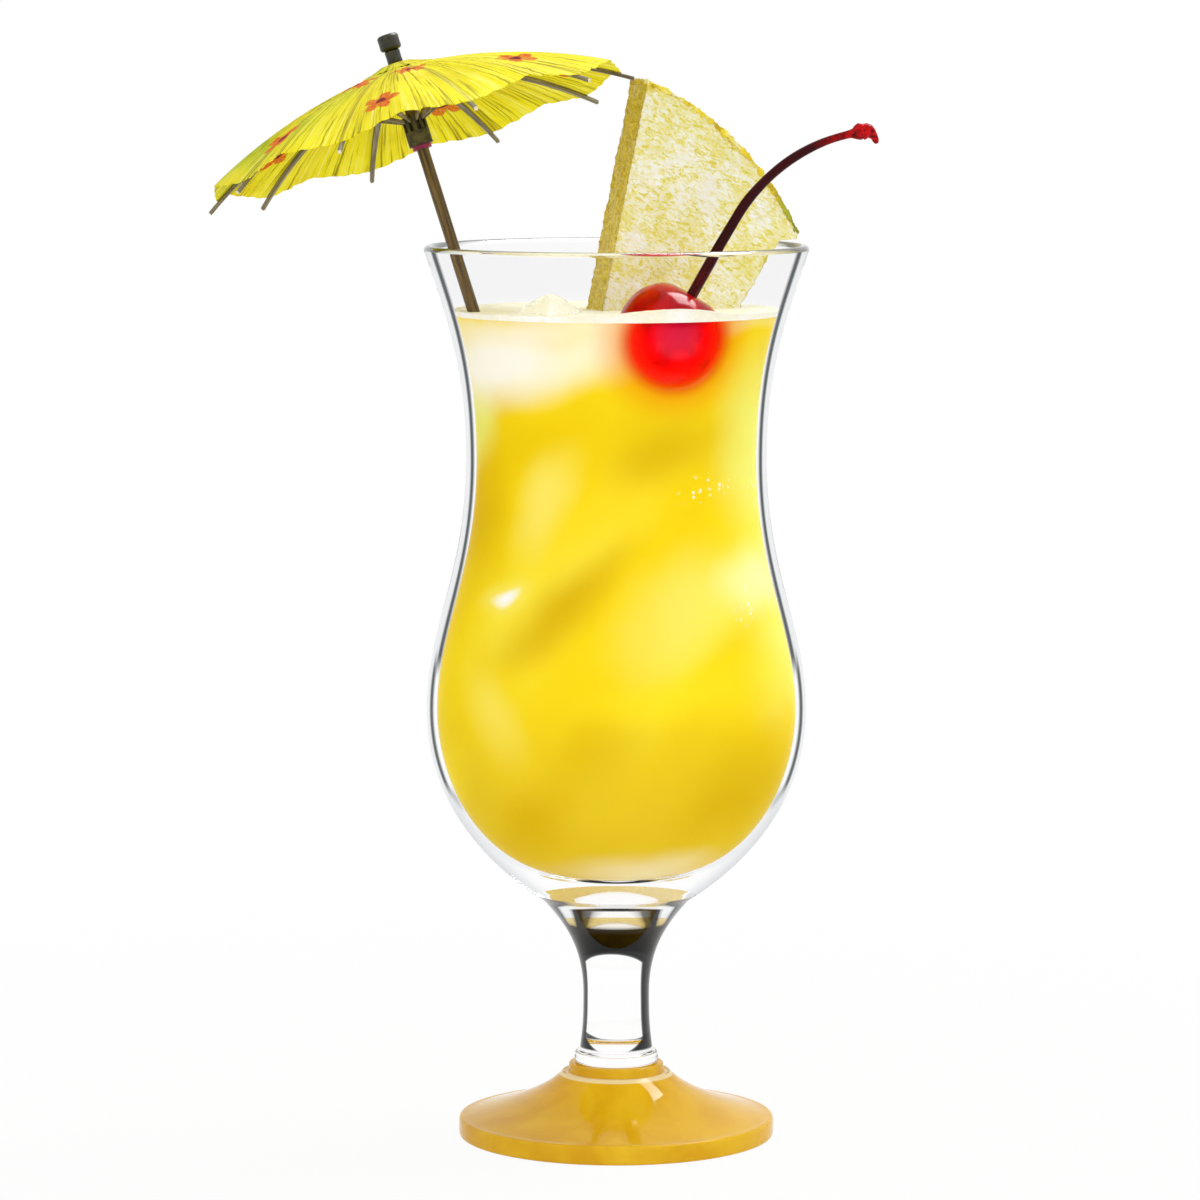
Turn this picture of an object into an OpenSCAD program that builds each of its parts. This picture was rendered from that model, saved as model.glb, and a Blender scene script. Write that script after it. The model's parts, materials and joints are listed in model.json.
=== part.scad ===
// Hurricane glass served as a long iced drink: a blown bowl on a drawn stem and a pressed foot,
// the drink with its froth and ice, a cherry, a pineapple wedge and a folding paper parasol.
// Lengths are millimetres. The foot stands on z = 0, +x is the viewer's right, +y points away.

/* [Bowl] */
// Height of the bowl above its joint with the stem
bowl_h = 140.6; // [130:0.2:155]
// Outside radius at the rim
rim_r = 41; // [39:0.1:46]
// Outside radius at the waist
waist_r = 32.1; // [30:0.1:36]
// Outside radius at the belly
belly_r = 40.7; // [38:0.1:46]
// Height of the waist above the stem joint
waist_h = 95; // [85:0.5:102]
// Height of the belly above the stem joint
belly_h = 41.1; // [37:0.1:48]
// Thickness of the blown wall
wall = 2.1; // [1.6:0.1:2.6]
// Thickness of the floor over the stem joint
floor_t = 5.4; // [4:0.1:8]

/* [Stem] */
// Height of the stem between foot and bowl
stem_h = 35.6; // [25:0.1:60]
// Radius at the thinnest place of the stem
stem_r = 7.1; // [5:0.1:8]
// Radius where the stem meets the bowl
stem_top_r = 15.8; // [12:0.1:18]
// Radius of the bead at the stem's lower end
bead_r = 9; // [8.4:0.1:10]
// Height of the bead
bead_h = 2.8; // [2:0.1:4]

/* [Foot] */
// Radius of the foot
foot_r = 34; // [30:0.1:40]
// Height of the foot up to the stem
foot_h = 15.8; // [12:0.1:20]
// Height of the foot at its edge
foot_edge_h = 4.2; // [3.2:0.1:6]
// Radius of the foot's raised collar under the stem
foot_neck_r = 10.2; // [9.6:0.1:12]
// Radius of the hollow in the foot's underside
punt_r = 27; // [15:0.5:29]
// Depth of the hollow in the foot's underside
punt_d = 1.4; // [0.5:0.1:3]

/* [Drink] */
// Distance from the rim down to the drink's surface
headspace = 14.8; // [12:0.1:20]
// Depth of the froth on the drink
froth_h = 1.2; // [0.8:0.1:4]

/* [Ice] */
// Side of an ice cube
ice_side = 16; // [13:0.5:18]
// Height of the top cube's corner above the drink's surface
ice_peek = 5.6; // [3:0.1:8]

/* [Cherry] */
// Radius of the cherry
cherry_r = 11.2; // [9:0.1:12]
// Height of the cherry's crown above the froth
cherry_rise = 6.8; // [4:0.1:8]
// Radius of the cherry's stalk at its lower half
cherry_stem_r = 1.15; // [0.8:0.05:1.4]
// Length of the straight part of the cherry's stalk
cherry_stem_len = 20; // [12:0.5:26]
// Bend radius of the cherry's stalk
cherry_stem_bend = 37; // [25:1:60]

/* [Pineapple] */
// Thickness of the wedge
wedge_t = 11; // [9:0.5:12]
// Width of the wedge from its left side to the end of its rind
wedge_w = 45.7; // [43:0.1:48]
// Width of the wedge at its cut core end
wedge_core_w = 32.5; // [28:0.5:34]
// Height of the wedge above its core end
wedge_h = 56.4; // [50:0.2:62]
// Depth of the core end below the drink's surface
wedge_dip = 6.2; // [4:0.1:8]
// Sideways offset of the wedge's top corner from its left side
wedge_skew = 10.3; // [8:0.1:13]
// Distance that the wedge hangs over the rim
wedge_overhang = 1; // [0.6:0.1:3]
// Distance of the wedge's front face in front of the glass's axis
wedge_front = 1.2; // [0:0.1:4]
// Radius of the rind
rind_r = 68; // [58:1:80]
// Thickness of the rind
rind_t = 1.6; // [1:0.1:2.2]

/* [Parasol] */
// Number of ribs
rib_n = 10; // [8:1:10]
// Length of a rib from its pivot to its tip
rib_len = 47.6; // [44:0.1:49]
// Rise of an open rib's arc above the line between its ends
rib_bow = 2.6; // [1.6:0.1:3.4]
// Greatest width of a rib
rib_w = 1.4; // [1.2:0.1:1.8]
// Thickness of a rib
rib_t = 0.8; // [0.7:0.05:0.9]
// Slope below the level of the line between an open rib's ends
rib_slope = 20.6; // [17:0.1:24]
// Distance along a rib from its pivot out to its strut
strut_at = 17.1; // [15:0.1:19]
// Distance of the open runner's pivots below the rib pivots
runner_drop = 11; // [9.5:0.1:13]
// Length of the paper along a rib
paper_len = 44.8; // [40:0.1:46]
// Thickness of the paper
paper_t = 0.2; // [0.15:0.01:0.25]
// Angle of each paper panel out of its rib's plane
pleat_rise = 4; // [2:0.1:6]
// Radius of the stick
stick_r = 1.3; // [1.1:0.05:1.4]
// Length of the stick from the drink's surface up to the rib pivots
stick_rise = 54.4; // [50:0.1:58]
// Length of the stick below the rib pivots
stick_drop = 88; // [76:0.5:92]
// Lean of the parasol to the left
lean_left = 17.6; // [14:0.1:19]
// Lean of the parasol away from the viewer
lean_back = 5.8; // [1:0.1:7]

/* [Hidden] */
$fn = 64;
// Clearance round a piece that lifts out of the drink
lift_gap = 0.3;
// Film between pieces that stay together
film = 0.06;
// Overrun of every cut
over = 1;

// Heights of the glass
joint_z = foot_h + stem_h;
rim_z = joint_z + bowl_h;
waist_z = joint_z + waist_h;
belly_z = joint_z + belly_h;
floor_z = joint_z + floor_t;
fill_z = rim_z - headspace;
froth_z = fill_z + froth_h;
lip_r = wall / 2;
// Places of the curve handles along the bowl: flare, shoulder, bottom and floor
flare_shares = [0.506, 0.307, 0.474];
shoulder_shares = [0.452, 0.325];
bottom_shares = [0.4, 0.65, 0.258];
floor_shares = [0.5, 0.7, 0.26];
// Places of the curve handles along the stem, the foot and its hollow
drawn_shares = [0.51, 0.24, 0.5];
base_shares = [0.48, 0.2, 0.4];
dish_shares = [0.1, 0.38, 0.42, 0.28];
edge_shares = [0.04, 0.4];
punt_shares = [0.55, 0.2];

// Worn corners of the ice, and the top cube's pose
ice_ball_share = 0.74;
ice_ball = ice_side * ice_ball_share;
top_ice_tilt = 45;
top_ice_roll = 35.3;
top_ice_spin = 28;
top_ice_turn = 219;
top_ice_z = fill_z + ice_peek - ice_ball;
// Sunk cubes: turn about the axis, share of the way to the wall, share of the depth, spin and tilt
sunk_shares = [
    [318, 0.93, 0.31, 20, -7],
    [212, 0.8, 0.493, 12, 9],
    [325, 0.9, 0.527, -9, 10],
    [80, 0.85, 0.493, 25, 8],
    [214, 0.93, 0.727, 33, -8],
    [20, 0.7, 0.777, 5, 6]
];

// Cherry: place, tilt of its stalk pit, and the stalk
cherry_z = froth_z + cherry_rise - cherry_r;
cherry_turn = 306;
cherry_out_share = 0.95;
cherry_tilt = 30;
pit_share = 0.16;
pit_spread = 24;
seat_share = 0.72;
stalk_sweep = 46;
stalk_thin_share = 0.88;
stalk_thin_r = cherry_stem_r * stalk_thin_share;
stalk_end_share = 1.9;
stalk_end_len_share = 4.2;

// Wedge: its face turns to the right, its notch lies over the rim
wedge_turn = 20;
wedge_lean = 9;
wedge_z = fill_z - wedge_dip;
wedge_low_h = froth_z - wedge_z + lift_gap;
notch_h = rim_z + lift_gap - wedge_z;
wedge_end = sqrt(pow(rim_r + wedge_overhang, 2) - pow(wedge_front, 2));
wedge_left = wedge_end - wedge_w;
notch_x = sqrt(pow(rim_r - wall - lift_gap, 2) - pow(wedge_t - wedge_front, 2)) - wedge_left;
rind_top = [wedge_skew, wedge_h];
rind_low = [wedge_w, notch_h + rind_t];
rind_half = norm(rind_top - rind_low) / 2;
rind_dir = (rind_low - rind_top) / (2 * rind_half);
rind_centre = (rind_top + rind_low) / 2
    + sqrt(pow(rind_r, 2) - pow(rind_half, 2)) * [rind_dir.y, -rind_dir.x];

// Parasol pivots and slots
pivot_r = 2.6;
runner_pivot_r = 2.2;
hub_r = 3.4;
hub_up = 1.3;
hub_down = 1.6;
hub_slot_r = 1.9;
hub_slot_up = 0.75;
thread_r = 0.18;
thread_gap = 0.08;
tongue_r = 0.55;
tongue_w = 0.7;
rib_neck_w = 0.8;
rib_tip_w = 0.8;
slot_gap = 0.15;
cheek_t = 0.35;
strut_t = 0.7;
strut_end_w = 0.5;
pin_r = 0.15;
pin_gap = 0.07;
runner_r = 2.6;
runner_above = 0.9;
runner_below = 5.4;
runner_slot_r = 1.66;
runner_slot_below = 2.3;
run_gap = 0.1;
ring_r = 2.05;
ring_h = 0.9;
neck_r = 1.65;
neck_h = 3.3;
cap_r = 2.3;
cap_h = 3.4;
cap_edge = 0.7;
stick_tip = 5;
stick_tip_r = 0.45;
stick_wall_gap = 2.5;
stick_turn = 192;
paper_lift = 0.15;
paper_start = 4;
paper_side = 1.1;
crease_gap = 0.28;
scallop = 1.1;
rib_half_step = 180 / rib_n;
// Arc of an open rib, its pin, and the strut from there to the runner
bow_r = (pow(rib_len / 2, 2) + pow(rib_bow, 2)) / (2 * rib_bow);
bow_centre = [rib_len / 2, 0, rib_bow - bow_r];
function bow_up(x, lift = 0) = sqrt(pow(bow_r + lift, 2) - pow(x - bow_centre.x, 2)) + bow_centre.z;
strut_pin = [strut_at, 0, bow_up(strut_at)];
strut_run = pivot_r - runner_pivot_r + strut_pin.x * cos(rib_slope) + strut_pin.z * sin(rib_slope);
strut_fall = runner_drop - strut_pin.x * sin(rib_slope) + strut_pin.z * cos(rib_slope);
strut_len = norm([strut_run, strut_fall]);
strut_slope = atan2(strut_fall, strut_run);
// Paper lies on the ribs and turns about a line through each rib's arc
hinge_up = rib_t / 2 + paper_lift;
crease_share = 0.76;
crease_up = hinge_up + rib_bow * crease_share;
// Places along a rib, as shares of the way to its strut: tongue, fork side, full width
rib_shares = [0.11, 0.13, 1.15, 1.3];
// Places along a strut: end of the fork's slot, end of the fork, start of the plain part
strut_shares = [0.1, 0.13, 0.24];

rib_names = [for (i = [1:rib_n]) str("rib_", i)];
strut_names = [for (i = [1:rib_n]) str("strut_", i)];
panel_names = [for (i = [1:rib_n], side = ["right", "left"]) str("paper_", i, "_", side)];

// Helpers
// A point a share of the way from a to b
function along(a, b, share) = a + (b - a) * share;
// Points of a cubic curve after its first one
function curve(a, b, c, d, n = 12) = [
    for (i = [1:n]) let (t = i / n, u = 1 - t)
        u * u * u * a + 3 * u * u * t * b + 3 * u * t * t * c + t * t * t * d
];
// Points of an arc
function arc(centre, r, from, to, n = 12) = [
    for (i = [0:n]) let (a = along(from, to, i / n)) centre + r * [cos(a), sin(a)]
];

// Wall of the bowl from below the lip to the belly, moved inwards by t
function wall_curve(t) = let (
    rim = [rim_r - t, rim_z - lip_r], waist = [waist_r - t, waist_z], belly = [belly_r - t, belly_z],
    flare = rim.y - waist.y, fall = waist.y - belly.y
) concat(
    [rim],
    curve(rim, [along(rim.x, waist.x, flare_shares[0]), rim.y - flare * flare_shares[1]],
        waist + [0, flare * flare_shares[2]], waist),
    curve(waist, waist - [0, fall * shoulder_shares[0]], belly + [0, fall * shoulder_shares[1]], belly));
// Outside of the bowl's bottom, from the belly in to the stem
function bottom_curve() = let (belly = [belly_r, belly_z], joint = [stem_top_r, joint_z]) curve(
    belly, belly - [0, belly_h * bottom_shares[0]],
    [along(joint.x, belly.x, bottom_shares[1]), joint_z + belly_h * bottom_shares[2]], joint);
// Inside of the bowl's bottom, from the belly in to the middle of the floor
function floor_curve(t) = let (
    belly = [belly_r - t, belly_z], low = floor_z + t - wall, flat = belly.x * floor_shares[2]
) concat(
    curve(belly, [belly.x, along(belly_z, low, floor_shares[0])],
        [belly.x * floor_shares[1], low], [flat, low]),
    [[0, low]]);
// Whole inside of the bowl, moved inwards by t
function inside(t) = concat(wall_curve(t), floor_curve(t));
// Inside radius of the bowl at a height
wall_heights = [for (p = inside(wall)) [p.y, p.x]];
function inside_r(z) = lookup(z, wall_heights);
// Least inside radius within a reach above and below a height
function clear_r(z, reach) = min([for (s = [-1:0.5:1]) inside_r(z + s * reach)]);

module bowl() {
    lip_centre = [rim_r - lip_r, rim_z - lip_r];
    color([0.9, 0.94, 0.95, 0.35])
        rotate_extrude($fn = 128)
            polygon(concat(
                arc(lip_centre, lip_r, 180, 0),
                [for (i = [1:len(wall_curve(0)) - 1]) wall_curve(0)[i]],
                bottom_curve(),
                [[0, joint_z]],
                [for (i = [len(inside(wall)) - 1:-1:1]) inside(wall)[i]]));
}

module stem() {
    top = [stem_top_r, joint_z];
    thin = [stem_r, foot_h + stem_h * drawn_shares[2] - bead_h];
    base = [along(stem_r, bead_r, base_shares[2]), foot_h + bead_h];
    fall = top.y - thin.y;
    color([0.9, 0.94, 0.95, 0.35])
        rotate_extrude($fn = 96)
            polygon(concat(
                [[0, foot_h], [0, joint_z], top],
                curve(top, [along(top.x, thin.x, drawn_shares[0]), top.y - fall * drawn_shares[1]],
                    thin + [0, fall * drawn_shares[2]], thin),
                curve(thin, thin - [0, (thin.y - base.y) * base_shares[0]],
                    [along(thin.x, base.x, base_shares[1]), along(base.y, thin.y, base_shares[2])], base),
                curve(base, [bead_r, base.y], [bead_r, foot_h + bead_h / 2],
                    [bead_r, foot_h + bead_h / 2], 6),
                curve([bead_r, foot_h + bead_h / 2], [bead_r, foot_h], [bead_r, foot_h],
                    [along(stem_r, bead_r, base_shares[2]), foot_h], 6)));
}

module foot() {
    neck = [foot_neck_r, foot_h];
    edge = [foot_r * (1 - edge_shares[0]), foot_edge_h];
    side = [foot_r, foot_edge_h * edge_shares[1]];
    tread = [foot_r * (1 - edge_shares[0]), 0];
    color([0.95, 0.76, 0.16, 0.6])
        rotate_extrude($fn = 128)
            polygon(concat(
                [[0, punt_d], [0, foot_h], neck],
                curve(neck, [along(neck.x, edge.x, dish_shares[0]), along(neck.y, edge.y, dish_shares[1])],
                    [along(neck.x, edge.x, dish_shares[2]), along(edge.y, neck.y, dish_shares[3])], edge, 16),
                curve(edge, [foot_r, edge.y], [foot_r, edge.y], side, 6),
                curve(side, [foot_r, 0], [foot_r, 0], tread, 6),
                [[punt_r, 0]],
                curve([punt_r, 0], [punt_r * punt_shares[0], punt_d], [punt_r * punt_shares[1], punt_d],
                    [0, punt_d], 8)));
}

// Inside of the bowl between two heights, a film short of the wall
module bowl_fill(low, high) {
    intersection() {
        rotate_extrude($fn = 128)
            polygon(concat(inside(wall + film), [[0, rim_z - lip_r]]));
        translate([0, 0, low]) cylinder(r = belly_r, h = high - low);
    }
}

module ice_block(grow = 0) {
    intersection() {
        cube(ice_side + 2 * grow, center = true);
        sphere(r = ice_ball + grow);
    }
}

module top_ice_place() {
    rotate(top_ice_turn)
        translate([clear_r(top_ice_z, ice_ball) - ice_ball - 2 * lift_gap, 0, top_ice_z])
            rotate(top_ice_spin - top_ice_turn)
                children();
}

// Room round and above the top cube, so that it lifts straight out
module top_ice_room() {
    top_ice_place() {
        sphere(r = ice_ball + lift_gap);
        cylinder(r = ice_ball + lift_gap, h = bowl_h);
    }
}

module sunk_ice(grow = 0) {
    for (s = sunk_shares) {
        z = along(fill_z, floor_z, s[2]);
        rotate(s[0])
            translate([s[1] * (clear_r(z, ice_ball) - ice_ball - lift_gap), 0, z])
                rotate([s[4], 0, s[3] - s[0]])
                    ice_block(grow);
    }
    wedge_place()
        translate([wedge_core_w / 2, wedge_t / 2, -lift_gap - ice_side / 2])
            ice_block(grow);
}

module cherry_place() {
    rotate(cherry_turn)
        translate([cherry_out_share * (clear_r(cherry_z, cherry_r) - cherry_r - lift_gap), 0, cherry_z])
            rotate(-cherry_turn)
                children();
}

module cherry_room() {
    cherry_place() {
        sphere(r = cherry_r + lift_gap);
        cylinder(r = cherry_r + lift_gap, h = bowl_h);
    }
}

module wedge_place() {
    rotate(wedge_turn) translate([wedge_left, -wedge_front, wedge_z]) children();
}

// Room round the wedge's core end and along the way that it lifts out, up and over the rim
module wedge_room() {
    side = wedge_core_w + lift_gap;
    wedge_place()
        translate([0, wedge_t + lift_gap, 0])
            rotate([90, 0, 0])
                linear_extrude(wedge_t + 2 * lift_gap)
                    polygon([
                        [-lift_gap, -lift_gap], [side, -lift_gap], [side + bowl_h * tan(wedge_lean), bowl_h],
                        [-lift_gap, bowl_h]
                    ]);
}

module stick_room() {
    parasol_place()
        translate([0, 0, -stick_drop - lift_gap]) cylinder(r = stick_r + lift_gap, h = stick_drop);
}

module drink() {
    color([0.99, 0.86, 0.14])
        difference() {
            bowl_fill(floor_z, fill_z);
            sunk_ice(film);
            top_ice_room();
            cherry_room();
            wedge_room();
            stick_room();
        }
}

module froth() {
    color([0.98, 0.96, 0.86])
        difference() {
            bowl_fill(fill_z, froth_z);
            top_ice_room();
            cherry_room();
            wedge_room();
            stick_room();
        }
}

module ice_cubes() {
    color([0.9, 0.95, 0.95, 0.5]) sunk_ice();
}

module top_ice_cube() {
    color([0.9, 0.95, 0.95, 0.5]) top_ice_place() rotate([top_ice_tilt, top_ice_roll, 0]) ice_block();
}

module cherry() {
    profile = [
        for (i = [0:36]) let (a = i * 180 / 36, r = cherry_r * (1 - pit_share * exp(-pow(a / pit_spread, 2))))
            r * [sin(a), cos(a)]
    ];
    color([0.72, 0.07, 0.07])
        cherry_place()
            rotate([0, cherry_tilt, 0])
                difference() {
                    rotate_extrude() polygon(profile);
                    translate([0, 0, cherry_r * seat_share - film])
                        cylinder(r = cherry_stem_r + film, h = cherry_r);
                }
}

module cherry_stalk() {
    start = cherry_r * seat_share;
    color([0.42, 0.08, 0.1])
        cherry_place()
            rotate([0, cherry_tilt, 0]) {
                translate([0, 0, start]) cylinder(r = cherry_stem_r, h = cherry_stem_len + lift_gap);
                translate([cherry_stem_bend, 0, start + cherry_stem_len])
                    rotate([90, 0, 0]) {
                        rotate(180 - stalk_sweep)
                            rotate_extrude(angle = stalk_sweep)
                                translate([cherry_stem_bend, 0]) circle(r = stalk_thin_r);
                        rotate(180 - stalk_sweep)
                            translate([cherry_stem_bend, 0, 0])
                                rotate([90, 0, 0])
                                    stalk_end();
                    }
            }
}

// Woody knob that the stalk broke off with
module stalk_end() {
    long = stalk_thin_r * stalk_end_len_share;
    wide = stalk_thin_r * stalk_end_share;
    rotate_extrude()
        polygon(concat(
            [[0, 0], [stalk_thin_r, 0]],
            curve([stalk_thin_r, 0], [stalk_thin_r, long / 2], [wide, long / 2], [wide, long - wide / 2]),
            curve([wide, long - wide / 2], [wide, long], [wide, long], [0, long])));
}

rind_from = atan2(rind_low.y - rind_centre.y, rind_low.x - rind_centre.x);
rind_to = atan2(rind_top.y - rind_centre.y, rind_top.x - rind_centre.x);
flesh_arc = arc(rind_centre, rind_r - rind_t, rind_from, rind_to, 16);
rind_arc = arc(rind_centre, rind_r, rind_to, rind_from, 16);

module wedge_slab() {
    wedge_place() translate([0, wedge_t, 0]) rotate([90, 0, 0]) linear_extrude(wedge_t) children();
}

module pineapple_wedge() {
    color([0.97, 0.9, 0.5])
        wedge_slab()
            polygon(concat(
                [[0, 0], [wedge_core_w, 0], [wedge_core_w, wedge_low_h], [notch_x, notch_h]],
                [[flesh_arc[0].x, notch_h]],
                flesh_arc,
                [[0, wedge_low_h]]));
}

module pineapple_rind() {
    color([0.62, 0.62, 0.14])
        wedge_slab() polygon(concat(flesh_arc, rind_arc));
}

// Stick near the wall at the drink's surface, leaning left and back
parasol_axis = [-cos(lean_back) * sin(lean_left), sin(lean_back), cos(lean_back) * cos(lean_left)];
stick_out = inside_r(fill_z) - stick_r - stick_wall_gap;
hub_at = [stick_out * cos(stick_turn), stick_out * sin(stick_turn), fill_z] + stick_rise * parasol_axis;

module parasol_place() {
    translate(hub_at) rotate([-lean_back, -lean_left, 0]) children();
}

// Frame of one rib: x runs out along the rib, z points up through the paper
module rib_place(i) {
    parasol_place()
        rotate((i - 1) * 360 / rib_n) translate([pivot_r, 0, 0]) rotate([0, rib_slope, 0]) children();
}

module cross_pin(r, w) {
    rotate([90, 0, 0]) cylinder(r = r, h = w, center = true, $fn = 24);
}

module parasol_stick() {
    color([0.75, 0.66, 0.46])
        parasol_place() {
            translate([0, 0, stick_tip - stick_drop])
                cylinder(r = stick_r, h = stick_drop - stick_tip + hub_up + neck_h + cap_h / 2, $fn = 32);
            translate([0, 0, -stick_drop]) cylinder(r1 = stick_tip_r, r2 = stick_r, h = stick_tip, $fn = 32);
        }
}

module parasol_neck() {
    color([0.2, 0.19, 0.1])
        parasol_place()
            translate([0, 0, hub_up])
                difference() {
                    cylinder(r = neck_r, h = neck_h, $fn = 32);
                    translate([0, 0, -over]) cylinder(r = stick_r + film, h = neck_h + 2 * over, $fn = 32);
                }
}

module parasol_cap() {
    color([0.13, 0.13, 0.1])
        parasol_place()
            translate([0, 0, hub_up + neck_h])
                difference() {
                    rotate_extrude($fn = 48)
                        polygon(concat(
                            [[0, 0]], arc([cap_r - cap_edge, cap_edge], cap_edge, -90, 0, 5),
                            arc([cap_r - cap_edge, cap_h - cap_edge], cap_edge, 0, 90, 5), [[0, cap_h]]));
                    translate([0, 0, -over])
                        cylinder(r = stick_r + film, h = over + cap_h / 2 + film, $fn = 32);
                }
}

module slots(r_in, r_out, low, high, w) {
    for (i = [1:rib_n])
        rotate((i - 1) * 360 / rib_n)
            translate([r_in, -w / 2, low]) cube([r_out - r_in, w, high - low]);
}

module thread_torus(r) {
    rotate_extrude($fn = 48) translate([pivot_r, 0]) circle(r = r, $fn = 24);
}

module parasol_hub() {
    color([0.3, 0.2, 0.12])
        parasol_place()
            difference() {
                translate([0, 0, -hub_down]) cylinder(r = hub_r, h = hub_down + hub_up, $fn = 48);
                translate([0, 0, -hub_down - over])
                    cylinder(r = stick_r + film, h = hub_down + hub_up + 2 * over, $fn = 32);
                slots(hub_slot_r, hub_r + over, -hub_down - over, hub_slot_up, tongue_w + 2 * slot_gap);
                thread_torus(thread_r + film);
            }
}

module hub_thread() {
    color([0.9, 0.87, 0.78]) parasol_place() thread_torus(thread_r);
}

module runner() {
    color([0.6, 0.46, 0.27])
        parasol_place()
            translate([0, 0, -runner_drop])
                difference() {
                    translate([0, 0, -runner_below])
                        cylinder(r = runner_r, h = runner_below + runner_above, $fn = 48);
                    translate([0, 0, -runner_below - over])
                        cylinder(r = stick_r + run_gap, h = runner_below + runner_above + 2 * over, $fn = 32);
                    slots(runner_slot_r, runner_r + over, -runner_slot_below, runner_above + over,
                        strut_end_w + 2 * slot_gap);
                }
}

module stop_ring() {
    wide = (ring_r - stick_r - run_gap) / 2;
    color([0.75, 0.1, 0.4])
        parasol_place()
            translate([0, 0, -runner_drop - runner_below - film - ring_h / 2])
                rotate_extrude($fn = 48)
                    translate([stick_r + run_gap + wide, 0])
                        square([2 * wide, ring_h], center = true);
}

// Sheet bent to the arc of an open rib, lifted off it
module bent_sheet(lift, t, w) {
    translate(bow_centre)
        rotate([90, 0, 0])
            difference() {
                cylinder(r = bow_r + lift + t, h = w, center = true, $fn = 720);
                cylinder(r = bow_r + lift, h = w + 2 * over, center = true, $fn = 720);
            }
}

module rib(i) {
    stations = [for (s = rib_shares) s * strut_at];
    half = concat(
        [[0, tongue_w / 2], [stations[0], tongue_w / 2], [stations[1], rib_neck_w / 2]],
        [[stations[2], rib_neck_w / 2], [stations[3], rib_w / 2], [rib_len, rib_tip_w / 2]]);
    color([0.85, 0.72, 0.5])
        rib_place(i)
            difference() {
                union() {
                    intersection() {
                        bent_sheet(-rib_t / 2, rib_t, 2 * rib_w);
                        translate([0, 0, -rib_bow])
                            linear_extrude(3 * rib_bow)
                                polygon(concat(half, [for (k = [len(half) - 1:-1:0]) [half[k].x, -half[k].y]]));
                    }
                    cross_pin(tongue_r, tongue_w);
                }
                cross_pin(thread_r + thread_gap, rib_w);
                translate(strut_pin) cross_pin(pin_r + pin_gap, rib_w);
            }
}

module strut(i) {
    stations = [for (s = strut_shares) s * strut_len];
    slot_w = rib_neck_w + 2 * slot_gap;
    fork_w = slot_w + 2 * cheek_t;
    half = [
        [0, fork_w / 2], [stations[1], fork_w / 2], [stations[2], strut_end_w / 2],
        [strut_len, strut_end_w / 2]
    ];
    color([0.85, 0.72, 0.5])
        rib_place(i)
            translate(strut_pin)
                rotate([0, 180 - rib_slope - strut_slope, 0]) {
                    difference() {
                        union() {
                            linear_extrude(strut_t, center = true)
                                polygon(concat(half, [for (k = [len(half) - 1:-1:0]) [half[k].x, -half[k].y]]));
                            cross_pin(strut_t / 2, fork_w);
                            translate([strut_len, 0, 0]) cross_pin(strut_t / 2, strut_end_w);
                        }
                        translate([-over, -slot_w / 2, -strut_t])
                            cube([stations[0] + over, slot_w, 2 * strut_t]);
                    }
                    cross_pin(pin_r, fork_w);
                }
}

// Half a gore of the canopy, from its rib to the crease midway to the next rib
module paper_panel(i, side) {
    // Distance from the rib to the crease at a place along the rib, where the sheet is up above the hinge
    function crease(x) = let (up = bow_up(x, hinge_up) - crease_up) (
        (pivot_r + x * cos(rib_slope) + (crease_up + up * cos(pleat_rise)) * sin(rib_slope)) * sin(rib_half_step)
        + up * sin(pleat_rise) * cos(rib_half_step) - crease_gap)
        / (cos(pleat_rise) * cos(rib_half_step) - sin(pleat_rise) * sin(rib_slope) * sin(rib_half_step));
    outer = [paper_len, paper_side];
    corner_x = paper_len - 2 * scallop;
    corner = [corner_x, crease(corner_x)];
    color([0.99, 0.87, 0.12])
        rib_place(i)
            mirror([0, side == "left" ? 0 : 1, 0])
                translate([0, 0, crease_up])
                    rotate([pleat_rise, 0, 0])
                        translate([0, 0, -crease_up])
                            intersection() {
                                linear_extrude(2 * crease_up)
                                    polygon(concat(
                                        [[paper_start, paper_side], outer],
                                        curve(outer, along(outer, corner, 1 / 3) - [scallop, 0],
                                            along(outer, corner, 2 / 3) - [scallop, 0], corner, 6),
                                        [for (k = [1:8]) let (x = along(corner_x, paper_start, k / 8)) [x, crease(x)]]));
                                bent_sheet(hinge_up, paper_t, rib_len);
                            }
}

bowl();
stem();
foot();
drink();
froth();
ice_cubes();
top_ice_cube();
cherry();
cherry_stalk();
pineapple_wedge();
pineapple_rind();
parasol_stick();
parasol_neck();
parasol_cap();
parasol_hub();
hub_thread();
runner();
stop_ring();
for (i = [1:rib_n]) {
    rib(i);
    strut(i);
    for (side = ["right", "left"])
        paper_panel(i, side);
}
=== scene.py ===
import json
import math
import bmesh
import bpy
import numpy as np
from mathutils import Matrix, Vector, noise


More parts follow.
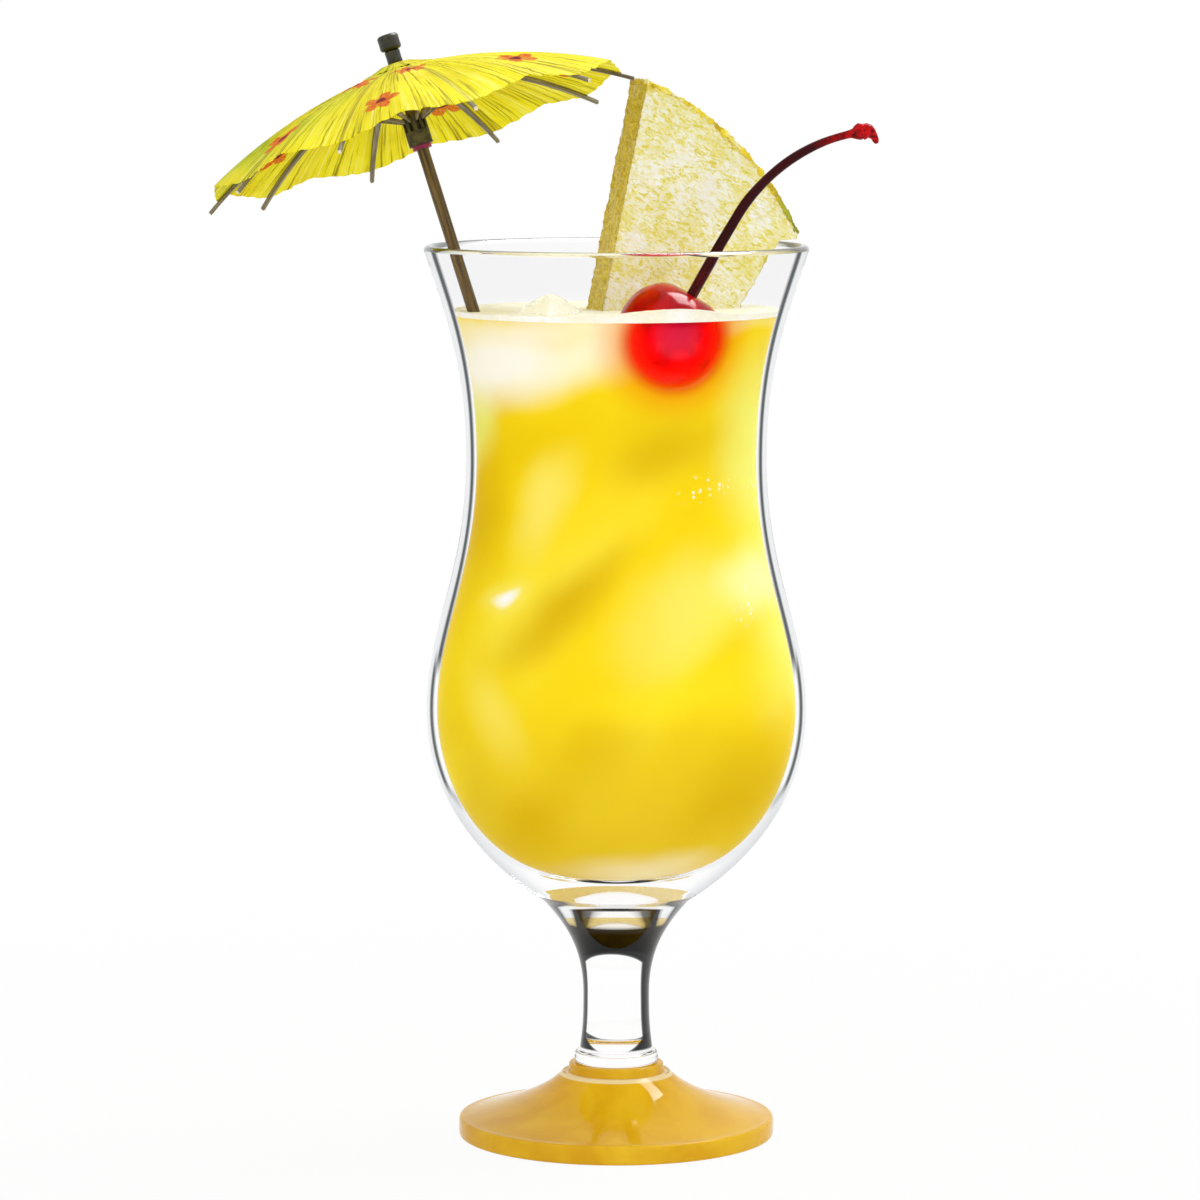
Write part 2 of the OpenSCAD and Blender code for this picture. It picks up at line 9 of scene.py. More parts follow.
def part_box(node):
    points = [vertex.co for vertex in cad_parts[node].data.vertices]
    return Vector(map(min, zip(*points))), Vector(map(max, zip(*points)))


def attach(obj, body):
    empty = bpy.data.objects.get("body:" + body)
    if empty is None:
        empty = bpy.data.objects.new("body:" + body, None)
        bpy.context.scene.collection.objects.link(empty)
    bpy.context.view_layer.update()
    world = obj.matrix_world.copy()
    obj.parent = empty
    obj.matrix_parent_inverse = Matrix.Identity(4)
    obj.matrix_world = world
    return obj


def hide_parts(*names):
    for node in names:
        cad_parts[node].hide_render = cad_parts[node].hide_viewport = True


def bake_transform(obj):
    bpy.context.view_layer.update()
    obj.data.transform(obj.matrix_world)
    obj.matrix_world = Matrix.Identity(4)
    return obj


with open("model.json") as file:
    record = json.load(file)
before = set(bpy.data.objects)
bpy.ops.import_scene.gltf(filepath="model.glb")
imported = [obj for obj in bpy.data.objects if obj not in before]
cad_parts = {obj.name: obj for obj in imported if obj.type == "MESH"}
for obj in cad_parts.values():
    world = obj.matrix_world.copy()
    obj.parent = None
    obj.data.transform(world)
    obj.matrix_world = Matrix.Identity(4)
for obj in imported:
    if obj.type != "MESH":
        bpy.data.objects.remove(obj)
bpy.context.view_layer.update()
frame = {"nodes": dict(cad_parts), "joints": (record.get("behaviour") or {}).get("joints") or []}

# Studio. A long lens stands a little above the drink and looks slightly down, over a wide white floor
# in a white room. A softbox overhead gives the form, one beside it shows only as a highlight, two
# weaker ones open the shade, and the white room does the rest.
MM = 0.001
CAMERA_AT = (-3.5 * MM, -1132 * MM, 239 * MM)
CAMERA_TILT = math.radians(90 - 6.2)
LENS, SENSOR = 159.5, 36
WHITE, SWEEP_GREY = (1, 1, 1, 1), (0.86, 0.86, 0.86, 1)
ROOM_LIGHT = 0.6
LAMP_AIM, TOP_BOX, SIDE_BOX = (0, 0, 0.12), (0.6, 0.6), (0.5, 0.7)
FLOOR_REACH, FLOOR_Z = 6.0, -0.0002
SHADOW_NEAR, SHADOW_FAR, SHADOW_WHITE = 0.08, 0.4, 0.94

scene = bpy.context.scene
scene.view_settings.view_transform = "Standard"
camera = bpy.data.objects.new("camera", bpy.data.cameras.new("camera"))
camera.data.lens = LENS
camera.data.sensor_width = SENSOR
camera.location = CAMERA_AT
camera.rotation_euler = (CAMERA_TILT, 0, 0)
scene.collection.objects.link(camera)
scene.camera = camera


def shade(red, green, blue):
    """A colour as painters' numbers from 0 to 255, turned into the linear values of a shader."""
    linear = [c / 255 / 12.92 if c <= 10 else ((c / 255 + 0.055) / 1.055) ** 2.4 for c in (red, green, blue)]
    return (*linear, 1)


def feed(tree, node, inputs):
    """Gives a node's inputs another node's socket or a plain value."""
    for key, value in inputs.items():
        if isinstance(value, bpy.types.NodeSocket):
            tree.links.new(value, node.inputs[key])
        else:
            node.inputs[key].default_value = value


def add(tree, kind, inputs=(), **settings):
    """One shader node."""
    made = tree.nodes.new("ShaderNode" + kind)
    for name, value in settings.items():
        setattr(made, name, value)
    feed(tree, made, dict(inputs))
    return made


def maths(tree, operation, a, b=0.0):
    return add(tree, "Math", {0: a, 1: b}, operation=operation).outputs[0]


def vectors(tree, operation, a, b=None):
    """Vector maths. A length or a dot product comes out as a number."""
    made = add(tree, "VectorMath", {0: a} if b is None else {0: a, 1: b}, operation=operation)
    return made.outputs["Value" if operation in ("LENGTH", "DOT_PRODUCT") else "Vector"]


def blend_of(tree, share, low, high):
    """Colour between two colours."""
    return add(tree, "Mix", {0: share, 6: low, 7: high}, data_type="RGBA").outputs[2]


def spread(tree, value, low, high, first=0.0, last=1.0, way="LINEAR"):
    """Turns low to high into first to last, and stops at both ends."""
    ends = {0: value, 1: low, 2: high, 3: first, 4: last}
    return add(tree, "MapRange", ends, interpolation_type=way).outputs[0]


def where(tree):
    """Place on the object."""
    return add(tree, "TexCoord").outputs["Object"]


def part(tree, vector, axis):
    return add(tree, "SeparateXYZ", {0: vector}).outputs[axis]


def seen_rays(tree):
    """1 for what the camera sees directly, in a gloss or through glass."""
    path = add(tree, "LightPath").outputs
    gloss = maths(tree, "MAXIMUM", path["Is Glossy Ray"], path["Is Transmission Ray"])
    return maths(tree, "MAXIMUM", path["Is Camera Ray"], gloss)


world = bpy.data.worlds.new("white_room")
scene.world = world
world.use_nodes = True
room = world.node_tree
room.nodes.clear()
room_seen = add(room, "Background", {"Color": WHITE, "Strength": 1.0})
room_light = add(room, "Background", {"Color": WHITE, "Strength": ROOM_LIGHT})
room_mix = add(room, "MixShader", {0: seen_rays(room), 1: room_light.outputs[0], 2: room_seen.outputs[0]})
add(room, "OutputWorld", {"Surface": room_mix.outputs[0]})


def softbox(name, place, size, power, mirrored=False, lights=True):
    """A soft lamp. It lights things and shows in no gloss or glass, or the other way round."""
    lamp = bpy.data.lights.new(name, "AREA")
    lamp.shape = "RECTANGLE"
    lamp.size, lamp.size_y = size
    lamp.energy = power
    stand = bpy.data.objects.new(name, lamp)
    stand.location = place
    stand.rotation_euler = (Vector(LAMP_AIM) - Vector(place)).to_track_quat("-Z", "Y").to_euler()
    stand.visible_glossy = stand.visible_transmission = mirrored
    stand.visible_diffuse = lights
    scene.collection.objects.link(stand)


softbox("key_softbox", (0.4, 0.22, 1.0), TOP_BOX, 4.4)
softbox("sheen_softbox", (0.38, 0.2, 1.0), TOP_BOX, 17.0, mirrored=True, lights=False)
softbox("front_softbox", (0.5, -0.9, 0.4), SIDE_BOX, 2.3)
softbox("fill_softbox", (-0.7, -0.6, 0.35), SIDE_BOX, 1.9)

floor_corners = [(x * FLOOR_REACH, y * FLOOR_REACH, FLOOR_Z) for x, y in ((-1, -1), (1, -1), (1, 1), (-1, 1))]
floor_mesh = bpy.data.meshes.new("floor")
floor_mesh.from_pydata(floor_corners, [], [(0, 1, 2, 3)])
floor = bpy.data.objects.new("floor", floor_mesh)
scene.collection.objects.link(floor)
floor_white = bpy.data.materials.new("white_sweep")
floor_white.use_nodes = True
sweep = floor_white.node_tree
sweep.nodes.clear()
sweep_far = vectors(sweep, "LENGTH", where(sweep))
sweep_fade = spread(sweep, sweep_far, SHADOW_NEAR, SHADOW_FAR, SHADOW_WHITE, 1.0, "SMOOTHSTEP")
sweep_paint = add(sweep, "BsdfDiffuse", {"Color": SWEEP_GREY})
sweep_glow = add(sweep, "Emission", {"Color": WHITE, "Strength": 1.0})
sweep_share = maths(sweep, "MULTIPLY", seen_rays(sweep), sweep_fade)
sweep_mix = add(sweep, "MixShader", {0: sweep_share, 1: sweep_paint.outputs[0], 2: sweep_glow.outputs[0]})
add(sweep, "OutputMaterial", {"Surface": sweep_mix.outputs[0]})
floor_mesh.materials.append(floor_white)

# Bowl and stem. One gather of clear soda glass: the bowl is blown with a fire-polished lip, a flared
# top, a waist and a belly, and the solid stem is drawn from its thick floor down to a small bead.
# They are one continuous piece, turned here as one skin, finished as stem, wall, inside and lip.
RIM_R, WAIST_R, BELLY_R = 41.0, 32.1, 40.7
FOOT_H, STEM_H, BOWL_H, WAIST_H, BELLY_H, FLOOR_T = 15.8, 35.6, 140.6, 95.0, 41.1, 5.4
JOINT_Z = FOOT_H + STEM_H
RIM_Z = JOINT_Z + BOWL_H
WAIST_Z, BELLY_Z, FLOOR_TOP_Z = JOINT_Z + WAIST_H, JOINT_Z + BELLY_H, JOINT_Z + FLOOR_T
HEADSPACE = 14.8
FILL_Z = RIM_Z - HEADSPACE
WALL = 2.1
STEM_R, STEM_TOP_R, BEAD_R, BEAD_H = 7.1, 15.8, 9.0, 2.8
BEAD_Z = FOOT_H + BEAD_H
FOOT_JOIN = 0.05
STEM_IOR, WALL_IOR, LIP_IOR = 1.36, 1.03, 1.4
LIP_H, STEM_END_H = 1.3, 1.5
RIM_SHARES, WAIST_SHARES, BELLY_SHARES = (0.506, 0.307), (0.474, 0.452), (0.325, 0.4)
FLOOR_SHARES, JOINT_SHARES = (0.5, 0.7, 0.26), (0.65, 0.258)
STEM_SHARES, BEAD_SHARES, BEAD_IN_SHARE = (0.51, 0.24, 0.5), (0.48, 0.2, 0.4), 0.4


def between(a, b, share):
    return a + (b - a) * share


def curve(a, b, c, d, steps):
    """Points of a cubic curve after its first one."""
    a, b, c, d = (np.array(p, float) for p in (a, b, c, d))
    return [(1 - t) ** 3 * a + 3 * (1 - t) ** 2 * t * b + 3 * (1 - t) * t * t * c + t ** 3 * d
            for t in np.arange(1, steps + 1) / steps]


def wall_line(t):
    """Wall of the bowl from below the lip to the belly, moved inwards by t."""
    rim = np.array((RIM_R - t, RIM_Z - WALL / 2))
    waist = np.array((WAIST_R - t, WAIST_Z))
    belly = np.array((BELLY_R - t, BELLY_Z))
    flare, fall = rim[1] - waist[1], waist[1] - belly[1]
    flare_out = (between(rim[0], waist[0], RIM_SHARES[0]), rim[1] - flare * RIM_SHARES[1])
    return ([rim] + curve(rim, flare_out, waist + (0, flare * WAIST_SHARES[0]), waist, 40)
            + curve(waist, waist - (0, fall * WAIST_SHARES[1]),
                    belly + (0, fall * BELLY_SHARES[0]), belly, 40))


def inside_line(t):
    """Whole inside of the bowl from below the lip to the middle of its floor."""
    belly = np.array((BELLY_R - t, BELLY_Z))
    low = FLOOR_TOP_Z + t - WALL
    drop, wide, flat = FLOOR_SHARES
    round_in = (belly[0], between(BELLY_Z, low, drop))
    return (wall_line(t) + curve(belly, round_in, (belly[0] * wide, low), (belly[0] * flat, low), 36)
            + [np.array((0, low))])


def stem_line():
    """Outside of the stem from the bowl down to its flat lower end."""
    top = np.array((STEM_TOP_R, JOINT_Z))
    thin = np.array((STEM_R, FOOT_H + STEM_H / 2 - BEAD_H))
    bead_in = between(STEM_R, BEAD_R, BEAD_IN_SHARE)
    base = np.array((bead_in, BEAD_Z))
    fall = top[1] - thin[1]
    low = FOOT_H + FOOT_JOIN
    side = np.array((BEAD_R, FOOT_H + BEAD_H / 2))
    neck_in, neck_drop, neck_ease = STEM_SHARES
    low_ease, low_out, low_rise = BEAD_SHARES
    return (curve(top, (between(top[0], thin[0], neck_in), top[1] - fall * neck_drop),
                  thin + (0, fall * neck_ease), thin, 32)
            + curve(thin, thin - (0, (thin[1] - base[1]) * low_ease),
                    (between(thin[0], base[0], low_out), between(base[1], thin[1], low_rise)), base, 16)
            + curve(base, (BEAD_R, base[1]), side, side, 8)
            + curve(side, (BEAD_R, low), (BEAD_R, low), (bead_in, low), 8)
            + [np.array((0, low))])


def piece(name, points, faces, sharp=None, places=None):
    """A mesh object from points in millimetres, smooth but for edges sharper than an angle."""
    mesh = bpy.data.meshes.new(name)
    mesh.from_pydata([tuple(float(c) * MM for c in p) for p in points], [], [tuple(f) for f in faces])
    mesh.polygons.foreach_set("use_smooth", [True] * len(mesh.polygons))
    if sharp is not None:
        mesh.set_sharp_from_angle(angle=math.radians(sharp))
    if places is not None:
        layer = mesh.uv_layers.new(name="plan")
        corners = np.zeros(len(mesh.loops), int)
        mesh.loops.foreach_get("vertex_index", corners)
        layer.data.foreach_set("uv", (np.array(places, float)[corners] * MM).ravel())
    mesh.validate()
    made = bpy.data.objects.new(name, mesh)
    scene.collection.objects.link(made)
    return made


def lathe(name, line, turns=192, sharp=None, stand=None):
    """Turns a line of (radius, height) from axis to axis into a skin, with the solid on its left."""
    points, rings, faces = [], [], []
    circle = [(math.cos(2 * math.pi * k / turns), math.sin(2 * math.pi * k / turns)) for k in range(turns)]
    for r, z in line:
        ring = [(0, 0, z)] if r < 1e-6 else [(r * x, r * y, z) for x, y in circle]
        rings.append(range(len(points), len(points) + len(ring)))
        points += ring
    for upper, lower in zip(rings, rings[1:]):
        for k in range(turns):
            n = (k + 1) % turns
            if len(upper) == 1:
                faces.append((upper[0], lower[k], lower[n]))
            elif len(lower) == 1:
                faces.append((upper[n], upper[k], lower[0]))
            else:
                faces.append((upper[n], upper[k], lower[k], lower[n]))
    if stand is not None:
        points = [stand @ Vector(p) for p in points]
    return piece(name, points, faces, sharp)


lip = [(RIM_R - WALL / 2 + WALL / 2 * math.cos(a), RIM_Z - WALL / 2 + WALL / 2 * math.sin(a))
       for a in np.linspace(math.pi, 0, 17)]
belly_low = curve((BELLY_R, BELLY_Z), (BELLY_R, BELLY_Z - BELLY_H * BELLY_SHARES[1]),
                  (between(STEM_TOP_R, BELLY_R, JOINT_SHARES[0]), JOINT_Z + BELLY_H * JOINT_SHARES[1]),
                  (STEM_TOP_R, JOINT_Z), 40)
glass_line = inside_line(WALL)[:0:-1] + lip + wall_line(0)[1:] + belly_low + stem_line()
glass = lathe("glass_bowl_and_stem", glass_line)


def paint(name):
    """A new material with a Principled shader; returns it, its tree and the shader."""
    made = bpy.data.materials.new(name)
    made.use_nodes = True
    tree = made.node_tree
    tree.nodes.clear()
    shader = add(tree, "BsdfPrincipled")
    add(tree, "OutputMaterial", {"Surface": shader.outputs[0]})
    return made, tree, shader


def ramp(tree, share, stops):
    """Colour ramp through (place, colour) stops."""
    made = add(tree, "ValToRGB", {0: share})
    line = made.color_ramp.elements
    while len(line) < len(stops):
        line.new(0.5)
    for mark, (place, colour) in zip(line, stops):
        mark.position = place
    for mark, (place, colour) in zip(line, stops):
        mark.color = colour
    return made.outputs[0]


def lets_light_in(tree, share):
    """Alpha that lets lamp light and room light pass straight through glass."""
    path = add(tree, "LightPath").outputs
    soft = maths(tree, "MAXIMUM", path["Is Shadow Ray"], path["Is Diffuse Ray"])
    return maths(tree, "SUBTRACT", 1.0, maths(tree, "MULTIPLY", soft, share))


def edge_seen(tree):
    """How far a skin is seen edge on, from 0 to 1."""
    return add(tree, "LayerWeight", {"Blend": 0.5}).outputs["Facing"]


def seen_from_behind(tree):
    return add(tree, "NewGeometry").outputs["Backfacing"]


def clear_glass(name, bend):
    """Colourless glass; returns it with its tree, its shader, how far it's seen edge on, and the height."""
    made, tree, shader = paint(name)
    feed(tree, shader, {"Alpha": lets_light_in(tree, 0.9), "Roughness": 0.0, "IOR": bend,
                        "Transmission Weight": 1.0})
    return made, tree, shader, edge_seen(tree), part(tree, where(tree), 2)


def rises(tree, height, low, high):
    """0 below one height in millimetres, 1 above another."""
    return spread(tree, height, low * MM, high * MM, way="SMOOTHSTEP")


# The clear glass below gets painted shade in its colour: grey and black lines where it is seen edge on,
# standing in for dark surroundings seen in the glass, and a grey over the headspace.
CLEAR, VERY_CLEAR, HEADSPACE_SHADE = WHITE, (0.985, 0.985, 0.985, 1), (0.91, 0.91, 0.918, 1)
EDGE_SHADE_PALE, EDGE_SHADE_DARK, EDGE_SHADE_BLACK, EDGE_SHADE_GREY = shade(236, 238, 239), shade(44, 48, 50), shade(1, 1, 1), shade(92, 96, 98)

stem_glass, tree, shader, edge_on, height = clear_glass("clear_stem_glass", STEM_IOR)
# Painted shade: the stem darkens to black where it is seen edge on, more near its top and on one side, with
# dark lines where it joins the bowl.
joint_shade = ramp(tree, edge_on, [(0.0, CLEAR), (0.38, VERY_CLEAR), (0.42, EDGE_SHADE_DARK), (0.47, EDGE_SHADE_BLACK), (0.53, EDGE_SHADE_BLACK),
                                  (0.57, EDGE_SHADE_PALE), (0.64, EDGE_SHADE_PALE), (0.7, EDGE_SHADE_BLACK), (1.0, EDGE_SHADE_DARK)])
sideways = part(tree, add(tree, "NewGeometry").outputs["Normal"], 0)
top_limit = spread(tree, height, (JOINT_Z - 13) * MM, (JOINT_Z - 9) * MM, 0.4, -0.12)
low_limit = spread(tree, height, (BEAD_Z + 0.5) * MM, (BEAD_Z + 3.2) * MM, 0.05, 0.4)
beyond = maths(tree, "SUBTRACT", edge_on, maths(tree, "MINIMUM", top_limit, low_limit))
beyond = maths(tree, "ADD", beyond, maths(tree, "MULTIPLY", sideways, 0.1))
glass_shade = ramp(tree, beyond, [(0.0, CLEAR), (0.03, EDGE_SHADE_DARK), (0.07, EDGE_SHADE_BLACK), (1.0, EDGE_SHADE_BLACK)])
glass_shade = blend_of(tree, rises(tree, height, JOINT_Z - 5, JOINT_Z - 3.8), glass_shade, joint_shade)
glass_shade = blend_of(tree, rises(tree, height, BEAD_Z + 0.3, BEAD_Z + 0.8), CLEAR, glass_shade)
feed(tree, shader, {"Base Color": glass_shade})

bowl_glass, tree, shader, edge_on, height = clear_glass("clear_bowl_glass", WALL_IOR)
# Painted shade: grey lines where the wall is seen edge on, a second darker one at the belly, and grey at the
# low bowl's edges, laid on the back face only.
outer_edge = [(0.93, EDGE_SHADE_PALE), (1.0, shade(160, 164, 166))]
wall_line_shade = [(0.0, CLEAR), (0.59, VERY_CLEAR), (0.622, EDGE_SHADE_GREY), (0.648, EDGE_SHADE_GREY), (0.674, EDGE_SHADE_PALE)]
belly_line_shade = [(0.0, CLEAR), (0.635, VERY_CLEAR), (0.665, EDGE_SHADE_GREY), (0.688, EDGE_SHADE_GREY), (0.71, EDGE_SHADE_PALE),
                   (0.76, EDGE_SHADE_PALE), (0.78, EDGE_SHADE_DARK), (0.795, EDGE_SHADE_DARK), (0.815, EDGE_SHADE_PALE)]
wall_shade = ramp(tree, edge_on, wall_line_shade + outer_edge)
belly_shade = ramp(tree, edge_on, belly_line_shade + outer_edge)
at_belly = maths(tree, "SUBTRACT", rises(tree, height, BELLY_Z - 22, BELLY_Z - 16),
                 rises(tree, height, BELLY_Z + 6, BELLY_Z + 12))
foot_of_wall = ramp(tree, edge_on, [(0.0, CLEAR), (0.55, VERY_CLEAR), (0.75, shade(214, 217, 219)),
                                    (1.0, shade(132, 136, 139))])
glass_shade = blend_of(tree, rises(tree, height, JOINT_Z + 17, JOINT_Z + 25), foot_of_wall,
                blend_of(tree, at_belly, wall_shade, belly_shade))
glass_shade = add(tree, "Mix", {0: 1.0, 6: glass_shade, 7: glass_shade}, data_type="RGBA", blend_type="MULTIPLY").outputs[2]
feed(tree, shader, {"Base Color": blend_of(tree, seen_from_behind(tree), CLEAR, glass_shade)})

inside_glass, tree, shader, edge_on, height = clear_glass("clear_inside_glass", WALL_IOR)
# Painted shade: the inside glass greys above the drink.
glass_shade = blend_of(tree, rises(tree, height, FILL_Z, FILL_Z + 3), CLEAR, HEADSPACE_SHADE)
feed(tree, shader, {"Base Color": glass_shade})

lip_glass, tree, shader, edge_on, height = clear_glass("clear_lip_glass", LIP_IOR)
# Painted shade: the lip darkens where it is seen edge on.
glass_shade = ramp(tree, edge_on, [(0.0, CLEAR), (0.4, VERY_CLEAR), (0.66, EDGE_SHADE_DARK), (1.0, EDGE_SHADE_DARK)])
feed(tree, shader, {"Base Color": glass_shade})

for finish in (stem_glass, bowl_glass, inside_glass, lip_glass):
    glass.data.materials.append(finish)
for face in glass.data.polygons:
    faces_in = face.normal.z > 0.9 or face.normal.to_2d().dot(face.center.to_2d()) < 0
    if face.center.z > (RIM_Z - LIP_H) * MM:
        face.material_index = 3
    elif face.center.z > (JOINT_Z + STEM_END_H) * MM:
        face.material_index = 2 if faces_in else 1
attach(glass, "glass")
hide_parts("bowl", "stem")

# Foot. A disc of glass coloured amber right through, pressed with a raised collar that the stem is
# stuck to, and with a shallow hollow underneath, so that it stands on a flat ring.
FOOT_R, FOOT_EDGE_H, FOOT_NECK_R, PUNT_R, PUNT_D = 34.0, 4.2, 10.2, 27.0, 1.4
COLLAR_R, GROOVE_OUT, GROOVE_DOWN, RIDGE_OUT, RIDGE_DOWN = 0.5, 0.05, 2.0, 0.35, 2.5
EDGE_SHARE, SIDE_SHARE, SLOPE_SHARES, PUNT_SHARES = 0.96, 0.4, (0.1, 0.38, 0.42, 0.28), (0.55, 0.2)
AMBER, AMBER_DEEP, RIDGE_HIGHLIGHT = shade(246, 202, 38), shade(226, 172, 12), shade(252, 240, 196)
neck, edge = (FOOT_NECK_R, FOOT_H), (FOOT_R * EDGE_SHARE, FOOT_EDGE_H)
side, tread = (FOOT_R, FOOT_EDGE_H * SIDE_SHARE), (FOOT_R * EDGE_SHARE, 0)
high_slope = [between(neck[k], edge[k], SLOPE_SHARES[k]) for k in (0, 1)]
low_slope = (between(neck[0], edge[0], SLOPE_SHARES[2]), between(edge[1], neck[1], SLOPE_SHARES[3]))


def collar_arc(r, z, start, end, steps):
    return [(r + COLLAR_R * math.sin(a), z + COLLAR_R * math.cos(a)) for a in np.linspace(start, end, steps)]


collar = collar_arc(FOOT_NECK_R - COLLAR_R, FOOT_H - COLLAR_R, 0, math.pi / 2, 6)
collar += [(FOOT_NECK_R + GROOVE_OUT, FOOT_H - GROOVE_DOWN)]
collar += collar_arc(FOOT_NECK_R + RIDGE_OUT, FOOT_H - RIDGE_DOWN, -0.6, 1.9, 10)
foot_line = ([(0, FOOT_H)] + collar
             + curve(neck, high_slope, low_slope, edge, 32)[4:]
             + curve(edge, (FOOT_R, edge[1]), (FOOT_R, edge[1]), side, 10)
             + curve(side, (FOOT_R, 0), (FOOT_R, 0), tread, 10)
             + [np.array((PUNT_R, 0))]
             + curve((PUNT_R, 0), *((PUNT_R * s, PUNT_D) for s in PUNT_SHARES), (0, PUNT_D), 16))
foot = lathe("amber_foot", foot_line, sharp=50)


def noisy(tree, place, scale, detail, **more):
    """Soft noise round 0.5."""
    return add(tree, "TexNoise", {"Vector": place, "Scale": scale, "Detail": detail, **more}).outputs["Fac"]


amber_glass, tree, shader = paint("amber_glass")
place = where(tree)
body = ramp(tree, noisy(tree, place, 60.0, 3.0, Distortion=1.2), [(0.3, AMBER_DEEP), (0.62, AMBER)])
# Painted shade: the amber deepens where the foot is seen edge on.
body = blend_of(tree, maths(tree, "MULTIPLY", edge_seen(tree), 0.55), body, AMBER_DEEP)
height = part(tree, place, 2)
# Painted highlight: a pale band round the collar's ridge.
ridge_highlight = maths(tree, "SUBTRACT", rises(tree, height, FOOT_H - 2.75, FOOT_H - 2.55),
              rises(tree, height, FOOT_H - 2.1, FOOT_H - 1.95))
body = blend_of(tree, maths(tree, "MULTIPLY", ridge_highlight, 0.85), body, RIDGE_HIGHLIGHT)
feed(tree, shader, {"Base Color": body, "Alpha": lets_light_in(tree, 0.5), "Roughness": 0.03, "IOR": 1.45,
                    "Specular IOR Level": 0.09, "Transmission Weight": 0.2})
foot.data.materials.append(amber_glass)
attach(foot, "glass")
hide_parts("foot")

# Drink. Cloudy pineapple juice and cream, poured over ice, so the colour runs in slow bands: deep
# gold in places and duller towards the bottom, pale where sunk cubes lie near the wall, cream under
# the froth. It fills the bowl to a hair's breadth from the wall. The cherry lies in a hollow, seen through a
# film.
DRINK_GAP, HOLLOW_GAP, LID_DOWN = 0.15, 0.35, 0.3
DRINK_IN = WALL + DRINK_GAP
CHERRY_R = 11.2
HOLLOW_R, HOLLOW_LID_Z = CHERRY_R + HOLLOW_GAP, FILL_Z - LID_DOWN
cherry_low, cherry_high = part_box("cherry")
cherry_at = (cherry_low + cherry_high) / 2


def fill_line(t, high):
    """Inside of the bowl below a height, from its wall down to the middle of its floor."""
    line = inside_line(t)
    below = [p for p in line if p[1] < high]
    above = [p for p in line if p[1] >= high][-1]
    share = (high - below[0][1]) / (above[1] - below[0][1])
    return [np.array((between(below[0][0], above[0], share), high))] + below


drink = lathe("drink_in_bowl", [np.array((0, FILL_Z))] + fill_line(DRINK_IN, FILL_Z), sharp=50)
hollow_lid = HOLLOW_LID_Z - cherry_at[2] / MM
hollow_end = math.degrees(math.acos(hollow_lid / HOLLOW_R))
hollow_line = [(HOLLOW_R * math.sin(a), HOLLOW_R * math.cos(a))
               for a in np.radians(np.linspace(180, hollow_end, 48))]
hollow_line[0] = (0, -HOLLOW_R)
hollow = lathe("cherry_hollow", hollow_line + [(0, hollow_lid)], 96, 50, Matrix.Translation(cherry_at / MM))
outside_n = len(drink.data.polygons)
skins = bmesh.new()
for skin in (drink, hollow):
    skins.from_mesh(skin.data)
skins.to_mesh(drink.data)
skins.free()
bpy.data.objects.remove(hollow)
for face in drink.data.polygons[outside_n:]:
    face.material_index = 1


def node_group(name, takes, gives):
    """A new shader group; returns it, what it's given, and the node that hands its results on."""
    made = bpy.data.node_groups.new(name, "ShaderNodeTree")
    for way, sockets in (("INPUT", takes), ("OUTPUT", gives)):
        for socket, kind in sockets.items():
            made.interface.new_socket(socket, in_out=way, socket_type="NodeSocket" + kind)
    return made, made.nodes.new("NodeGroupInput").outputs, made.nodes.new("NodeGroupOutput")


soft_patch, got, given = node_group(
    "SoftPatch", {"Place": "Vector", "Centre": "Vector", "Reach": "Vector", "Turn": "Float", "Core": "Float"},
    {"Mask": "Float"})
away = vectors(soft_patch, "SUBTRACT", got["Place"], got["Centre"])
away = add(soft_patch, "VectorRotate", {"Vector": away, "Angle": got["Turn"]},
           rotation_type="Y_AXIS").outputs[0]
away = vectors(soft_patch, "LENGTH", vectors(soft_patch, "DIVIDE", away, got["Reach"]))
feed(soft_patch, given, {"Mask": spread(soft_patch, away, got["Core"], 1.0, 1.0, 0.0, "SMOOTHSTEP")})


def patch(tree, place, centre, reach, turned=0.0, core=0.1, share=1.0):
    """Soft-edged mask round a point, centre and reach in millimetres, turned up to the right by degrees."""
    made = add(tree, "Group", {"Place": place, "Centre": [c * MM for c in centre],
                               "Reach": [c * MM for c in reach], "Turn": math.radians(turned), "Core": core},
               node_tree=soft_patch)
    return maths(tree, "MULTIPLY", made.outputs[0], share)


def cellular(tree, place, scale):
    """Distance from the middle of the nearest cell."""
    return add(tree, "TexVoronoi", {"Vector": place, "Scale": scale}).outputs["Distance"]


DEEP, GOLD, LEMON, PALE = shade(220, 178, 12), shade(236, 196, 8), shade(254, 228, 36), shade(253, 236, 110)
LIME, CREAM, ICY = shade(238, 240, 118), shade(255, 246, 206), shade(255, 253, 240)
OLIVE, PALER, BLACK = shade(228, 194, 40), shade(252, 248, 186), shade(0, 0, 0)
JUICE_RED, JUICE_ORANGE, JUICE_INSIDE_GLOW = shade(222, 22, 6), shade(244, 140, 8), shade(226, 92, 8)
WARP, BAND_TILT, BAND_SIZE = 0.014, -48, (0.11, 0.033, 0.028)
OLIVE_FROM, OLIVE_FULL = 104, 72
POOL_Y, POOL_DEEP, WINDOW_Y, WINDOW_SHIFT = -20, 90, -28, 1.0
juice, tree, shader = paint("cloudy_juice")
place = where(tree)
warp = add(tree, "TexNoise", {"Vector": place, "Scale": 34.0, "Detail": 2.0}).outputs["Color"]
warp = vectors(tree, "SUBTRACT", warp, (0.5, 0.5, 0.5))
warp = add(tree, "VectorMath", {0: warp, "Scale": WARP}, operation="SCALE").outputs[0]
drawn = add(tree, "SeparateXYZ", {0: vectors(tree, "ADD", place, warp)}).outputs
depth = maths(tree, "MULTIPLY", maths(tree, "ABSOLUTE", drawn[1]), -1.0)
drawn = add(tree, "CombineXYZ", {0: drawn[0], 1: depth, 2: drawn[2]}).outputs[0]
